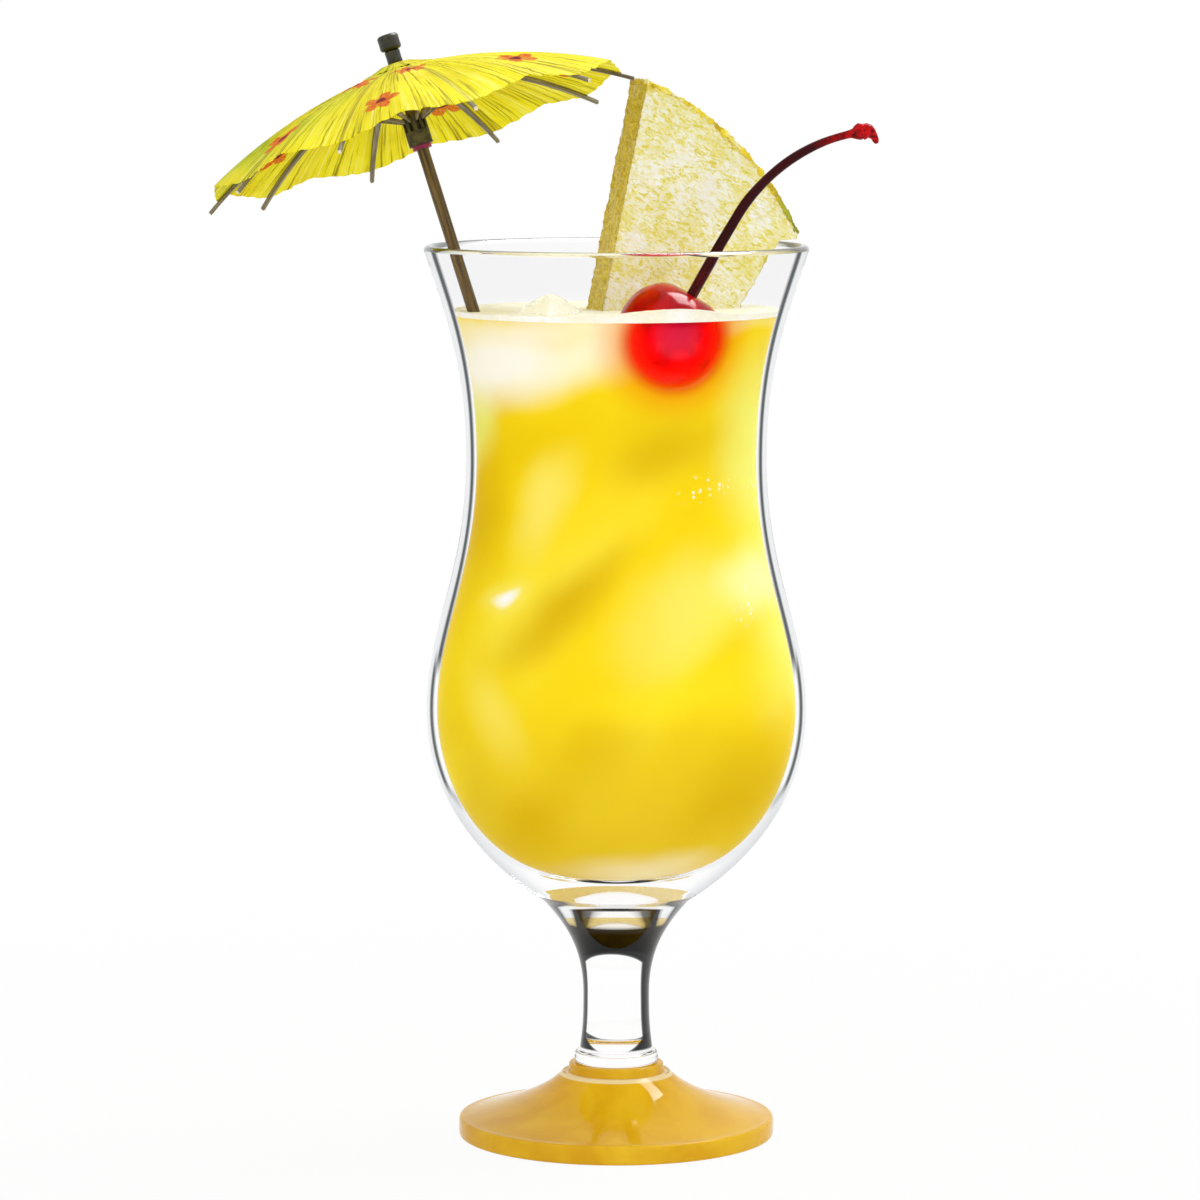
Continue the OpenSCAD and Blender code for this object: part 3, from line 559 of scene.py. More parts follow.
slant = {"Vector": drawn, "Rotation": (0, math.radians(BAND_TILT), 0), "Scale": BAND_SIZE}
slanted = add(tree, "Mapping", slant, vector_type="TEXTURE").outputs[0]
bands = noisy(tree, slanted, 1.0, 2.5, Roughness=0.45)
colour = ramp(tree, bands, [(0.3, shade(240, 202, 14)), (0.5, shade(249, 217, 26)),
                            (0.68, shade(253, 230, 60))])
olive_below = maths(tree, "MULTIPLY", rises(tree, part(tree, drawn, 2), OLIVE_FROM, OLIVE_FULL), 0.8)
colour = blend_of(tree, olive_below, colour, OLIVE)
# Patches of colour in the drink; the last two, at (-22.5, 118.7), are a painted highlight.
for tone, across, up, wide, high, turned, core, share in (
        (DEEP, 10, 151, 22, 12, 15, 0, 0.75), (DEEP, -30, 136, 11, 24, 0, 0, 0.85),
        (DEEP, -11, 117, 30, 9, 44, 0, 0.95), (GOLD, -20, 148, 26, 9, 38, 0, 0.6),
        (PALE, -15, 138, 17, 6.5, 66, 0, 0.75), (PALE, 15, 116, 24, 16, 34, 0, 0.75),
        (LIME, 32, 149, 14, 28, -6, 0.15, 0.95), (LIME, 38, 108, 14, 22, 0, 0.1, 0.85),
        (LIME, -31, 156, 9, 14, 0, 0, 0.9), (PALER, 29, 122, 12, 12, 0, 0, 0.7),
        (PALE, -26, 94, 14, 6, -72, 0, 0.5), (LEMON, 15, 98, 28, 9, 5, 0, 0.9),
        (DEEP, -5, 87, 19, 11, 25, 0, 0.6), (DEEP, -17, 73, 15, 10, 50, 0, 0.75),
        (DEEP, 24, 79, 22, 13, 35, 0, 0.7), (LEMON, -35, 78, 7, 13, 0, 0, 0.7),
        (CREAM, 5, 59, 24, 11, 0, 0, 0.75), (CREAM, -3, 172, 24, 11, 12, 0, 0.9),
        (CREAM, -10, 167, 17, 8, 30, 0, 0.7), (CREAM, 0, 177, 50, 4, 0, 0.2, 0.6),
        (ICY, -24, 169, 20, 14, 16, 0.15, 0.95), (PALE, -22.5, 118.7, 8, 4, 40, 0, 0.8),
        (ICY, -22.5, 118.7, 4.4, 1.7, 40, 0.2, 1.0)):
    pool = patch(tree, drawn, (across, POOL_Y, up), (wide, POOL_DEEP, high), turned, core, share)
    colour = blend_of(tree, pool, colour, tone)
beads = spread(tree, cellular(tree, place, 640.0), 0.18, 0.3, 0.8, 0.0)
for across, up, wide, high in ((21, 143, 5, 3), (17, 140, 4, 2.4), (28.5, 141, 2.5, 4), (26, 116, 3, 7)):
    cluster = patch(tree, drawn, (across, POOL_Y, up), (wide, POOL_DEEP, high))
    colour = blend_of(tree, maths(tree, "MULTIPLY", beads, cluster), colour, ICY)
window_at = (cherry_at[0] / MM + WINDOW_SHIFT, WINDOW_Y, cherry_at[2] / MM)
halo, blush, window = (
    patch(tree, place, window_at, (CHERRY_R + past, deep, CHERRY_R + past), 0, core, share)
    for past, deep, core, share in ((8.5, 26, 0.42, 0.9), (2.2, 20, 0.66, 0.95), (0.4, 18, 0.54, 0.99)))
colour = blend_of(tree, blush, blend_of(tree, halo, colour, JUICE_ORANGE), JUICE_RED)
# Painted glow: outside, the drink glows faintly in its own colour; its inside, seen only through the window,
# glows orange instead of lying in shade.
within = seen_from_behind(tree)
juice_glow = blend_of(tree, 0.9, colour, BLACK)
feed(tree, shader, {"Base Color": blend_of(tree, within, colour, JUICE_INSIDE_GLOW),
                    "Emission Color": blend_of(tree, within, juice_glow, JUICE_INSIDE_GLOW),
                    "Emission Strength": 0.8, "Alpha": maths(tree, "SUBTRACT", 1.0, window),
                    "Roughness": 0.35, "Specular IOR Level": 0.0})
drink.data.materials.append(juice)

thin_juice, tree, shader = paint("juice_round_cherry")
place = where(tree)
stain_and_glow = ramp(tree, noisy(tree, place, 120.0, 2.0), [(0.35, shade(236, 84, 6)), (0.65, shade(244, 132, 10))])
clear_front = spread(tree, part(tree, place, 1), cherry_at[1] - 4 * MM, cherry_at[1] - 1.5 * MM)
# Painted glow: the hollow round the cherry glows in its own orange, so it doesn't lie in shade.
feed(tree, shader, {"Base Color": stain_and_glow, "Emission Color": stain_and_glow, "Emission Strength": 0.45,
                    "Alpha": clear_front, "Roughness": 0.35, "Specular IOR Level": 0.0})
drink.data.materials.append(thin_juice)
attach(drink, "glass")
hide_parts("drink")

# Froth. A thin skin of cream foam that the shaking leaves on the drink, with larger bubbles among the
# fine ones. It is soft, so the garnish simply presses through it, and it heaps up beside the cherry.
FROTH_H, FROTH_LIFT, FROTH_SAG, FROTH_FINE, FROTH_ROUGH = 1.2, 0.02, 0.35, 420, 0.16
FROTH_Z = FILL_Z + FROTH_H
FROTH_HEAP, HEAP_X, HEAP_Y, HEAP_W, HEAP_D = 1.7, 12, -31, 15, 6
froth_r, froth_top_r = (fill_line(DRINK_IN, z)[0][0] for z in (FILL_Z, FROTH_Z))
froth_wall = [np.array((between(froth_r, froth_top_r, s), FILL_Z + FROTH_LIFT + (FROTH_H - FROTH_LIFT) * s))
              for s in np.linspace(1, 0, 4)]
froth_top = [np.array((froth_r * s, FROTH_Z - FROTH_SAG * (1 - s ** 14))) for s in np.linspace(0, 0.995, 60)]
froth_line = froth_top + froth_wall + [np.array((0, FILL_Z + FROTH_LIFT))]
froth = lathe("froth_skin", froth_line, turns=160, sharp=60)
for v in froth.data.vertices:
    if v.co.z > (FILL_Z + FROTH_H / 2) * MM:
        rise = noise.fractal(v.co * FROTH_FINE, 1.0, 2.0, 3) * FROTH_ROUGH
        heap = math.exp(-((v.co.x / MM - HEAP_X) / HEAP_W) ** 2 - ((v.co.y / MM - HEAP_Y) / HEAP_D) ** 2)
        v.co.z = min(v.co.z + rise * MM, FROTH_Z * MM) + FROTH_HEAP * heap * MM


def bumps(tree, height, strength, depth):
    """Fine relief in a surface, its depth in millimetres."""
    return add(tree, "Bump", {"Strength": strength, "Distance": depth * MM, "Height": height}).outputs[0]


foam, tree, shader = paint("cream_foam")
place = where(tree)
cells, big_cells = (cellular(tree, place, scale) for scale in (900.0, 330.0))
lumps = noisy(tree, place, 90.0, 4.0)
cream = ramp(tree, lumps, [(0.35, shade(250, 244, 214)), (0.62, shade(255, 254, 246))])
bubbles = maths(tree, "MULTIPLY", maths(tree, "LESS_THAN", big_cells, 0.16), 0.35)
cream = blend_of(tree, bubbles, cream, shade(252, 238, 176))
foam_height = maths(tree, "ADD", cells, maths(tree, "MULTIPLY", big_cells, 1.5))
# Painted glow: the foam gives off a little light in its own colour.
feed(tree, shader, {"Base Color": cream, "Emission Color": cream, "Emission Strength": 0.08, "Roughness": 0.5,
                    "Normal": bumps(tree, foam_height, 0.5, 0.4)})
froth.data.materials.append(foam)
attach(froth, "glass")
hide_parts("froth")

# Ice. Cubes from a tray, worn round at the corners by the drink. Seven lie sunk in it and one floats
# corner up at the left, so that only its point stands out of the froth.
ICE_SIDE, ICE_BALL, ICE_STEPS, ICE_WORN = 16.0, 11.84 * 0.985, 22, 0.35
ICE_ROUND, ICE_WAVY, ICE_SEED = 9, 0.16, Vector((3.1, 0, 0))


def worn_cube(at, turned):
    """A cube with melted corners and slightly hollowed, wavy faces."""
    points, index, faces = [], {}, []
    for axis in range(3):
        for end in (-1, 1):
            grid = {}
            for i in range(ICE_STEPS + 1):
                for k in range(ICE_STEPS + 1):
                    spot = [0, 0, 0]
                    spot[axis] = end * ICE_STEPS
                    spot[(axis + 1) % 3] = 2 * i - ICE_STEPS
                    spot[(axis + 2) % 3] = 2 * k - ICE_STEPS
                    key = tuple(spot)
                    if key not in index:
                        index[key] = len(points)
                        p = Vector(spot) * (ICE_SIDE / 2) / ICE_STEPS
                        p *= (1 + (p.length / ICE_BALL) ** ICE_ROUND) ** (-1 / ICE_ROUND)
                        p -= p.normalized() * ICE_WORN * (0.5 + 0.5 * noise.noise(p * ICE_WAVY + ICE_SEED))
                        points.append(at + turned @ p)
                    grid[i, k] = index[key]
            for i in range(ICE_STEPS):
                for k in range(ICE_STEPS):
                    face = (grid[i, k], grid[i + 1, k], grid[i + 1, k + 1], grid[i, k + 1])
                    faces.append(face if end > 0 else face[::-1])
    return points, faces


def turn(degrees, axis):
    return Matrix.Rotation(math.radians(degrees), 3, axis)


def refinish(node, finish):
    """Gives a piece of the CAD its material."""
    frame["nodes"][node].data.materials.clear()
    frame["nodes"][node].data.materials.append(finish)


def grey(level):
    return (level, level, level, 1)


ice_low, ice_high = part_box("top_ice_cube")
corner_up = turn(28, "Z") @ turn(35.3, "Y") @ turn(45, "X")
top_ice = piece("top_ice_worn", *worn_cube((ice_low + ice_high) / 2 / MM, corner_up))
ice, tree, shader = paint("melting_ice")
veins = noisy(tree, where(tree), 260.0, 5.0, Distortion=1.5)
ice_tone = ramp(tree, veins, [(0.38, shade(255, 255, 255)), (0.6, shade(248, 251, 248))])
# Painted glow: the ice gives off a little near-white light.
feed(tree, shader, {"Base Color": ice_tone, "Emission Color": shade(255, 255, 250), "Emission Strength": 0.1,
                    "Roughness": ramp(tree, veins, [(0.4, grey(0.04)), (0.66, grey(0.3))]),
                    "Alpha": lets_light_in(tree, 0.7), "IOR": 1.31, "Transmission Weight": 0.66,
                    "Normal": bumps(tree, veins, 0.35, 0.6)})
top_ice.data.materials.append(ice)
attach(top_ice, "top_ice")
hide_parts("top_ice_cube")
refinish("ice_cubes", ice)

# Cherry. A stoned cocktail cherry in syrup: tight glossy skin, a pit where the stalk sits, and the
# long stalk itself, thin, leathery and bent by its own weight, with the woody knob it broke off with.
CHERRY_TILT, CHERRY_UNEVEN, CHERRY_FINE = 30.0, 0.018, 130
PIT_SHARE, PIT_SPREAD, SEAT_SHARE = 0.16, 24.0, 0.72
STALK_R, STALK_LEN, STALK_BEND, STALK_SWEEP = 1.15, 20.0, 37.0, 46.0
STALK_FOOT, STALK_TAPER, KNOB_R, STALK_ALL = 1.12, 0.74, STALK_R * 0.82, 54
upright = Matrix.Translation(cherry_at / MM) @ turn(CHERRY_TILT, "Y").to_4x4()
cherry_line = []
for a in np.linspace(0, 180, 73):
    r = CHERRY_R * (1 - PIT_SHARE * math.exp(-(a / PIT_SPREAD) ** 2))
    cherry_line.append(np.array((r * math.sin(math.radians(a)), r * math.cos(math.radians(a)))))
cherry_line[0][0] = cherry_line[-1][0] = 0
cherry = lathe("cherry_fruit", cherry_line, turns=96, stand=upright)
for v in cherry.data.vertices:
    v.co -= (v.co - cherry_at) * CHERRY_UNEVEN * (0.5 + 0.5 * noise.fractal(v.co * CHERRY_FINE, 1.0, 2.0, 2))
skin, tree, shader = paint("cherry_skin")
place = where(tree)
mottle = noisy(tree, place, 240.0, 4.0)
red = ramp(tree, mottle, [(0.3, shade(156, 0, 4)), (0.55, shade(194, 2, 6)), (0.75, shade(214, 8, 8))])
purple = patch(tree, place, (window_at[0] + 0.5, -27, window_at[2] + 1), (7.5, 12, 7.5), 0, 0.2, 0.85)
red = blend_of(tree, purple, red, shade(166, 0, 44))
# Painted glow: the cherry glows red where it lies under the drink, and barely above it.
glow = blend_of(tree, rises(tree, part(tree, place, 2), FILL_Z - 2, FILL_Z + 0.5), red, shade(20, 0, 1))
feed(tree, shader, {"Base Color": red, "Emission Color": glow, "Emission Strength": 0.8, "Roughness": 0.14,
                    "Specular IOR Level": 0.15, "Coat Weight": 0.15, "Coat Roughness": 0.04,
                    "Normal": bumps(tree, mottle, 0.12, 0.3)})
cherry.data.materials.append(skin)
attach(cherry, "cherry")
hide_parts("cherry")


def tube(name, path, radii, around, stand, ridges):
    """A closed skin of rings square to a path. Its plan is (distance along, distance round)."""
    points, places, faces = [], [], []
    path = [Vector(p) for p in path]
    side, gone = None, 0.0
    for k, p in enumerate(path):
        ahead = (path[min(k + 1, len(path) - 1)] - path[max(k - 1, 0)]).normalized()
        side = ahead.orthogonal() if side is None else side
        side = (side - ahead * side.dot(ahead)).normalized()
        other = ahead.cross(side)
        gone += (p - path[k - 1]).length if k else 0.0
        for j in range(around):
            a = 2 * math.pi * j / around
            r = radii[k] * (1 + ridges * noise.noise(Vector((math.cos(a) * 2, math.sin(a) * 2, gone * 0.12))))
            points.append(stand @ (p + side * r * math.cos(a) + other * r * math.sin(a)))
            places.append((gone, radii[k] * a))
    last = len(path) - 1
    for k in range(last):
        for j in range(around):
            n = (j + 1) % around
            faces.append((k * around + j, k * around + n, (k + 1) * around + n, (k + 1) * around + j))
    faces.append(tuple(range(around))[::-1])
    faces.append(tuple(range(last * around, (last + 1) * around)))
    return piece(name, points, faces, 60, places)


seat = CHERRY_R * SEAT_SHARE
stalk_path = [Vector((0, 0, between(seat, seat + STALK_LEN, s))) for s in np.linspace(0, 1, 14)]
stalk_path += [Vector((STALK_BEND * (1 - math.cos(a)), 0, seat + STALK_LEN + STALK_BEND * math.sin(a)))
               for a in np.radians(np.linspace(0, STALK_SWEEP, 26)[1:])]
stalk_radii = [STALK_R * (STALK_FOOT if k == 0 else 1.0) * between(1.0, STALK_TAPER, k / len(stalk_path))
               for k in range(len(stalk_path))]
ahead = (stalk_path[-1] - stalk_path[-2]).normalized()
under = Vector((ahead.z, 0, -ahead.x))
knob_start = stalk_path[-1].copy()
for far, drop, wide in ((0.8, 0, 0.95), (1.5, 0.1, 1.2), (2.2, 0.1, 1.7), (2.9, 0, 1.95),
                        (3.5, 0.1, 1.65), (4.1, 0.3, 1.9), (4.7, 0.6, 1.75), (5.2, 1.1, 1.2),
                        (5.5, 1.8, 0.85), (5.65, 2.5, 0.75), (5.7, 3.1, 0.55), (5.72, 3.4, 0.25)):
    stalk_path.append(knob_start + ahead * far + under * drop)
    stalk_radii.append(KNOB_R * wide)
stalk = tube("cherry_stalk_bent", stalk_path, stalk_radii, 20, upright, 0.16)


def laid_flat(tree):
    """Place on a piece's plan."""
    return add(tree, "UVMap", uv_map="plan").outputs[0]


stem_skin, tree, shader = paint("cherry_stalk_skin")
specks = noisy(tree, where(tree), 900.0, 3.0)
length = spread(tree, part(tree, laid_flat(tree), 0), 0.0, STALK_ALL * MM)
bark = ramp(tree, length, [(0.0, shade(96, 2, 8)), (0.25, shade(44, 0, 4)), (0.78, shade(64, 0, 6)),
                           (0.88, shade(160, 4, 10)), (1.0, shade(216, 12, 16))])
bark = blend_of(tree, spread(tree, specks, 0.42, 0.62, 0.1, 0.85), bark, shade(46, 0, 4))
feed(tree, shader, {"Base Color": bark, "Roughness": 0.28, "Specular IOR Level": 0.12,
                    "Normal": bumps(tree, specks, 0.35, 0.2)})
stalk.data.materials.append(stem_skin)
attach(stalk, "cherry")
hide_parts("cherry_stalk")

# Pineapple wedge. A slab sawn from a ring of fresh pineapple, notched so that it sits over the rim.
# Its cut faces show the fibres that run from the core out to the rind, which is pared thin.
WEDGE_T, WEDGE_W, WEDGE_CORE_W, WEDGE_H = 11.0, 45.7, 32.5, 56.4
WEDGE_DIP, WEDGE_SKEW, WEDGE_OVERHANG, WEDGE_FRONT = 6.2, 10.3, 1.0, 1.2
RIND_R, RIND_T, WEDGE_TURN, LIFT_GAP, FRUIT_VOXEL = 68.0, 1.6, 20.0, 0.3, 0.42
wedge_z = FILL_Z - WEDGE_DIP
wedge_low_h = FROTH_Z - wedge_z + LIFT_GAP
notch_h = RIM_Z + LIFT_GAP - wedge_z
wedge_left = math.sqrt((RIM_R + WEDGE_OVERHANG) ** 2 - WEDGE_FRONT ** 2) - WEDGE_W
notch_x = math.sqrt((RIM_R - WALL - LIFT_GAP) ** 2 - (WEDGE_T - WEDGE_FRONT) ** 2) - wedge_left
rind_top, rind_low = np.array((WEDGE_SKEW, WEDGE_H)), np.array((WEDGE_W, notch_h + RIND_T))
rind_half = np.linalg.norm(rind_top - rind_low) / 2
rind_dir = (rind_low - rind_top) / (2 * rind_half)
rind_deep = math.sqrt(RIND_R ** 2 - rind_half ** 2)
rind_centre = (rind_top + rind_low) / 2 + rind_deep * np.array((rind_dir[1], -rind_dir[0]))
rind_from, rind_to = (math.atan2(*(end - rind_centre)[::-1]) for end in (rind_low, rind_top))
wedge_stand = turn(WEDGE_TURN, "Z").to_4x4() @ Matrix.Translation((wedge_left, -WEDGE_FRONT, wedge_z))


def rind_arc(r, start, end):
    return [tuple(rind_centre + r * np.array((math.cos(a), math.sin(a))))
            for a in np.linspace(start, end, 28)]


def slab(name, outline, grain):
    """A slab of fruit: the outline is sawn out, remeshed fine, and then shaped by its own grain."""
    n = len(outline)
    points = [(x, y, z) for y in (0, WEDGE_T) for x, z in outline]
    faces = [tuple(range(n)), tuple(range(2 * n - 1, n - 1, -1))]
    faces += [(k, k + n, (k + 1) % n + n, (k + 1) % n) for k in range(n)]
    made = piece(name, points, faces)
    fine = made.modifiers.new("fine", "REMESH")
    fine.mode = "VOXEL"
    fine.voxel_size = FRUIT_VOXEL * MM
    done = bpy.data.meshes.new_from_object(made.evaluated_get(bpy.context.evaluated_depsgraph_get()))
    made.modifiers.clear()
    made.data = done
    normals = [v.normal.copy() for v in done.vertices]
    for v, normal in zip(done.vertices, normals):
        p = v.co / MM
        v.co = (wedge_stand @ (p + grain(p, normal))) * MM
    done.polygons.foreach_set("use_smooth", [True] * len(done.polygons))
    return made


def fibres(p, normal):
    """Waves along the fibres, with small torn pits between them."""
    out = math.atan2(p.z - rind_centre[1], p.x - rind_centre[0])
    far = math.hypot(p.z - rind_centre[1], p.x - rind_centre[0])
    strand = noise.noise(Vector((out * 46, far * 0.16, p.y * 0.5)))
    torn = noise.noise(Vector((out * 90 + 7, far * 0.4, p.y * 0.9)))
    lump = noise.noise(Vector((p.x * 0.12, p.y * 0.2, p.z * 0.12)))
    return normal * (0.28 * strand + 0.22 * torn + 0.35 * lump - 0.55)


flesh_arc = rind_arc(RIND_R - RIND_T * 0.3, rind_from, rind_to)
wedge_outline = [(0, 0), (WEDGE_CORE_W, 0), (WEDGE_CORE_W, wedge_low_h), (notch_x, notch_h)]
wedge_outline += [(flesh_arc[0][0], notch_h)] + flesh_arc + [(0, wedge_low_h)]
wedge = slab("pineapple_flesh_slab", wedge_outline[::-1], fibres)
flesh, tree, shader = paint("pineapple_flesh")
place = where(tree)
slant = {"Vector": place, "Rotation": (0, math.radians(28), 0), "Scale": (1.7 * MM, 1.3 * MM, 0.7 * MM)}
to_fibres = add(tree, "Mapping", slant, vector_type="TEXTURE").outputs[0]
strands = noisy(tree, to_fibres, 1.0, 5.0, Roughness=0.66, Distortion=1.0)
clumps = noisy(tree, place, 130.0, 4.0, Roughness=0.6)
flesh_tone = ramp(tree, strands, [(0.33, shade(214, 200, 52)), (0.43, shade(238, 228, 116)),
                                  (0.52, shade(249, 246, 206)), (0.59, shade(255, 255, 250))])
juicy = ramp(tree, clumps, [(0.36, grey(0.6)), (0.54, grey(0))])
flesh_tone = blend_of(tree, juicy, flesh_tone, shade(238, 224, 104))
pithy = ramp(tree, clumps, [(0.5, grey(0)), (0.66, grey(0.75))])
flesh_tone = blend_of(tree, pithy, flesh_tone, shade(252, 250, 238))
middle = wedge_stand @ Vector((rind_centre[0], 0, rind_centre[1])) * MM
wedge_way = wedge_stand.to_3x3() @ Vector((1, 0, 0))
from_middle = vectors(tree, "SUBTRACT", place, middle)
sidelong = vectors(tree, "DOT_PRODUCT", from_middle, wedge_way)
from_middle = add(tree, "CombineXYZ", {0: sidelong, 2: part(tree, from_middle, 2)}).outputs[0]
uneven = maths(tree, "MULTIPLY", maths(tree, "SUBTRACT", clumps, 0.5), 0.022)
ripe = maths(tree, "ADD", vectors(tree, "LENGTH", from_middle), uneven)
ripe = spread(tree, ripe, (RIND_R - 2.6) * MM, (RIND_R - 1.2) * MM, 0.0, 0.85)
ripe_tone = ramp(tree, strands, [(0.36, shade(206, 176, 16)), (0.56, shade(240, 218, 44))])
flesh_tone = blend_of(tree, ripe, flesh_tone, ripe_tone)
# Painted shade: faces turned to the wedge's left take a darker, olive tone.
facing = vectors(tree, "DOT_PRODUCT", add(tree, "NewGeometry").outputs["Normal"], -wedge_way)
shaded_side_tone = ramp(tree, strands, [(0.34, shade(176, 146, 6)), (0.52, shade(222, 196, 22)),
                                 (0.7, shade(242, 222, 70))])
flesh_tone = blend_of(tree, spread(tree, facing, 0.45, 0.8, 0.0, 0.88), flesh_tone, shaded_side_tone)
# Painted glow: the flesh gives off a faint light in its own colour.
feed(tree, shader, {"Base Color": flesh_tone, "Emission Color": flesh_tone, "Emission Strength": 0.02,
                    "Roughness": ramp(tree, clumps, [(0.4, grey(0.22)), (0.6, grey(0.5))]),
                    "Specular IOR Level": 0.2,
                    "Normal": bumps(tree, strands, 0.5, 0.5)})
wedge.data.materials.append(flesh)
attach(wedge, "pineapple")
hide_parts("pineapple_wedge")


def rind_skin(p, normal):
    """Uneven pared rind with the stumps of its scales."""
    out = math.atan2(p.z - rind_centre[1], p.x - rind_centre[0])
    scale = noise.noise(Vector((out * 24, p.y * 0.35, 3)))
    rough = noise.noise(Vector((out * 80, p.y * 0.9, 9)))
    return normal * (0.55 * scale + 0.4 * rough - 0.35)


rind_outline = rind_arc(RIND_R - RIND_T, rind_from, rind_to) + rind_arc(RIND_R, rind_to, rind_from)
rind = slab("pineapple_rind_strip", rind_outline[::-1], rind_skin)
peel, tree, shader = paint("pineapple_rind")
place = where(tree)
scales = noisy(tree, place, 170.0, 4.0)
peel_tone = ramp(tree, scales, [(0.34, shade(252, 246, 190)), (0.43, shade(246, 226, 60)),
                                (0.53, shade(236, 206, 20)), (0.63, shade(190, 156, 14)),
                                (0.71, shade(246, 236, 130))])
green_end = patch(tree, place, (38.5, 12, 196), (9, 16, 12), 0, 0.2, 0.75)
feed(tree, shader, {"Base Color": blend_of(tree, green_end, peel_tone, shade(132, 150, 28)),
                    "Roughness": 0.55, "Normal": bumps(tree, scales, 0.6, 0.6)})
rind.data.materials.append(peel)
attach(rind, "pineapple")
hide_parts("pineapple_rind")

# Parasol stick. A round bamboo skewer, split and drawn through a die, so its fibres run straight
# along it. Its lower end is pointed, and its top is hidden in the cap.
STICK_R, STICK_DROP, STICK_POINT_H, STICK_IN_CAP = 1.3 * 0.985, 88.0, 8, 0.45
HUB_UP, NECK_R, NECK_H, CAP_R, CAP_H = 1.3, 1.65, 3.3, 2.3, 3.4
joints = {j["name"]: j for j in frame["joints"]}
parasol_up = -Vector(joints["parasol_fold"]["axis"])
ribs_n = sum(name.startswith("rib_") for name in joints)
rib_hinges = [Vector(joints[f"rib_{i}_hinge"]["pos_m"]) for i in range(1, ribs_n + 1)]
hub_at = sum(rib_hinges, Vector()) / ribs_n / MM
across = Vector(joints["rib_1_hinge"]["axis"]).cross(parasol_up).normalized()
parasol_axes = Matrix((across, parasol_up.cross(across), parasol_up)).transposed().to_4x4()
parasol_stand = Matrix.Translation(hub_at) @ parasol_axes
point = ((0, 0.2), (0.4, 0.45), (1.2, 0.62), (2.5, 0.86), (4, 1.14), (5, 1.27), (6, STICK_R))
shaft = np.linspace(-STICK_DROP + STICK_POINT_H, HUB_UP + NECK_H + CAP_H * STICK_IN_CAP, 70)
stick_path = [(0, 0, -STICK_DROP + up) for up, r in point] + [(0, 0, z) for z in shaft]
stick_radii = [r for up, r in point] + [STICK_R] * len(shaft)
stick = tube("parasol_skewer", stick_path, stick_radii, 28, parasol_stand, 0.03)

grain, got, given = node_group(
    "Grain", {"Place": "Vector", "Along": "Float", "Across": "Float", "Light": "Color", "Middle": "Color",
              "Dark": "Color"}, {"Color": "Color", "Height": "Float"})
run = add(grain, "CombineXYZ", {0: got["Along"], 1: got["Across"], 2: got["Across"]}).outputs[0]
fibre = noisy(grain, vectors(grain, "MULTIPLY", got["Place"], run), 1.0, 4.0, Roughness=0.6)
tone = blend_of(grain, spread(grain, fibre, 0.5, 0.68), got["Middle"], got["Light"])
tone = blend_of(grain, spread(grain, fibre, 0.5, 0.34), tone, got["Dark"])
feed(grain, given, {"Color": tone, "Height": fibre})


def wood(name, light, middle, dark, along, across, rough, from_plan=True):
    """Bamboo or turned wood, with the grain along the plan's first way or along the piece."""
    made, tree, shader = paint(name)
    place = laid_flat(tree) if from_plan else where(tree)
    cut = add(tree, "Group", {"Place": place, "Along": along, "Across": across, "Light": light,
                              "Middle": middle, "Dark": dark}, node_tree=grain).outputs
    feed(tree, shader, {"Base Color": cut["Color"], "Roughness": rough,
                        "Normal": bumps(tree, cut["Height"], 0.35, 0.2)})
    return made


stick.data.materials.append(wood("skewer_bamboo", shade(136, 104, 34), shade(88, 66, 16), shade(36, 27, 6),
                                 60, 1600, 0.42))
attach(stick, "parasol")
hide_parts("parasol_stick")

# Neck and cap. A short dark sleeve over the skewer and a turned cap with rounded edges, both dipped
# in nearly black lacquer. The cap is glued on and keeps the hub from sliding off.
CAP_ROUND = 0.7
neck_line = [(0, NECK_H - 0.02), (NECK_R - 0.25, NECK_H - 0.02), (NECK_R, NECK_H - 0.3),
             (NECK_R * 0.97, NECK_H * 0.5), (NECK_R, 0.3), (NECK_R - 0.2, 0.02), (0, 0.02)]
neck = lathe("cap_neck", neck_line, 40, 40, parasol_stand @ Matrix.Translation((0, 0, HUB_UP)))
quarter = [(CAP_ROUND * math.cos(a), CAP_ROUND * math.sin(a)) for a in np.linspace(0, math.pi / 2, 9)]
cap_line = ([(0, CAP_H - 0.12), (CAP_R * 0.4, CAP_H - 0.06)]
            + [(CAP_R - CAP_ROUND + s, CAP_H - CAP_ROUND + c) for c, s in quarter]
            + [(CAP_R * 0.985, CAP_H * 0.5)]
            + [(CAP_R - CAP_ROUND + c, CAP_ROUND - s) for c, s in quarter] + [(0, 0)])
cap = lathe("cap_turned", cap_line, 48, 40, parasol_stand @ Matrix.Translation((0, 0, HUB_UP + NECK_H)))


def worn_paint(name, scale, detail, tones, rough, **more):
    """A plain finish whose tones wander with wear; returns it, its tree, its shader and the wear."""
    made, tree, shader = paint(name)
    wear = noisy(tree, where(tree), scale, detail, **more)
    feed(tree, shader, {"Base Color": ramp(tree, wear, tones), "Roughness": rough})
    return made, tree, shader, wear


lacquer_tones = [(0.35, shade(20, 19, 6)), (0.6, shade(44, 41, 14)), (0.8, shade(98, 92, 38))]
lacquer, tree, shader, rubbed = worn_paint("dark_lacquer", 700.0, 5.0, lacquer_tones, 0.38, Roughness=0.65)
feed(tree, shader, {"Normal": bumps(tree, rubbed, 0.3, 0.2)})
for made, node in ((neck, "parasol_neck"), (cap, "parasol_cap")):
    made.data.materials.append(lacquer)
    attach(made, "parasol")
    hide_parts(node)

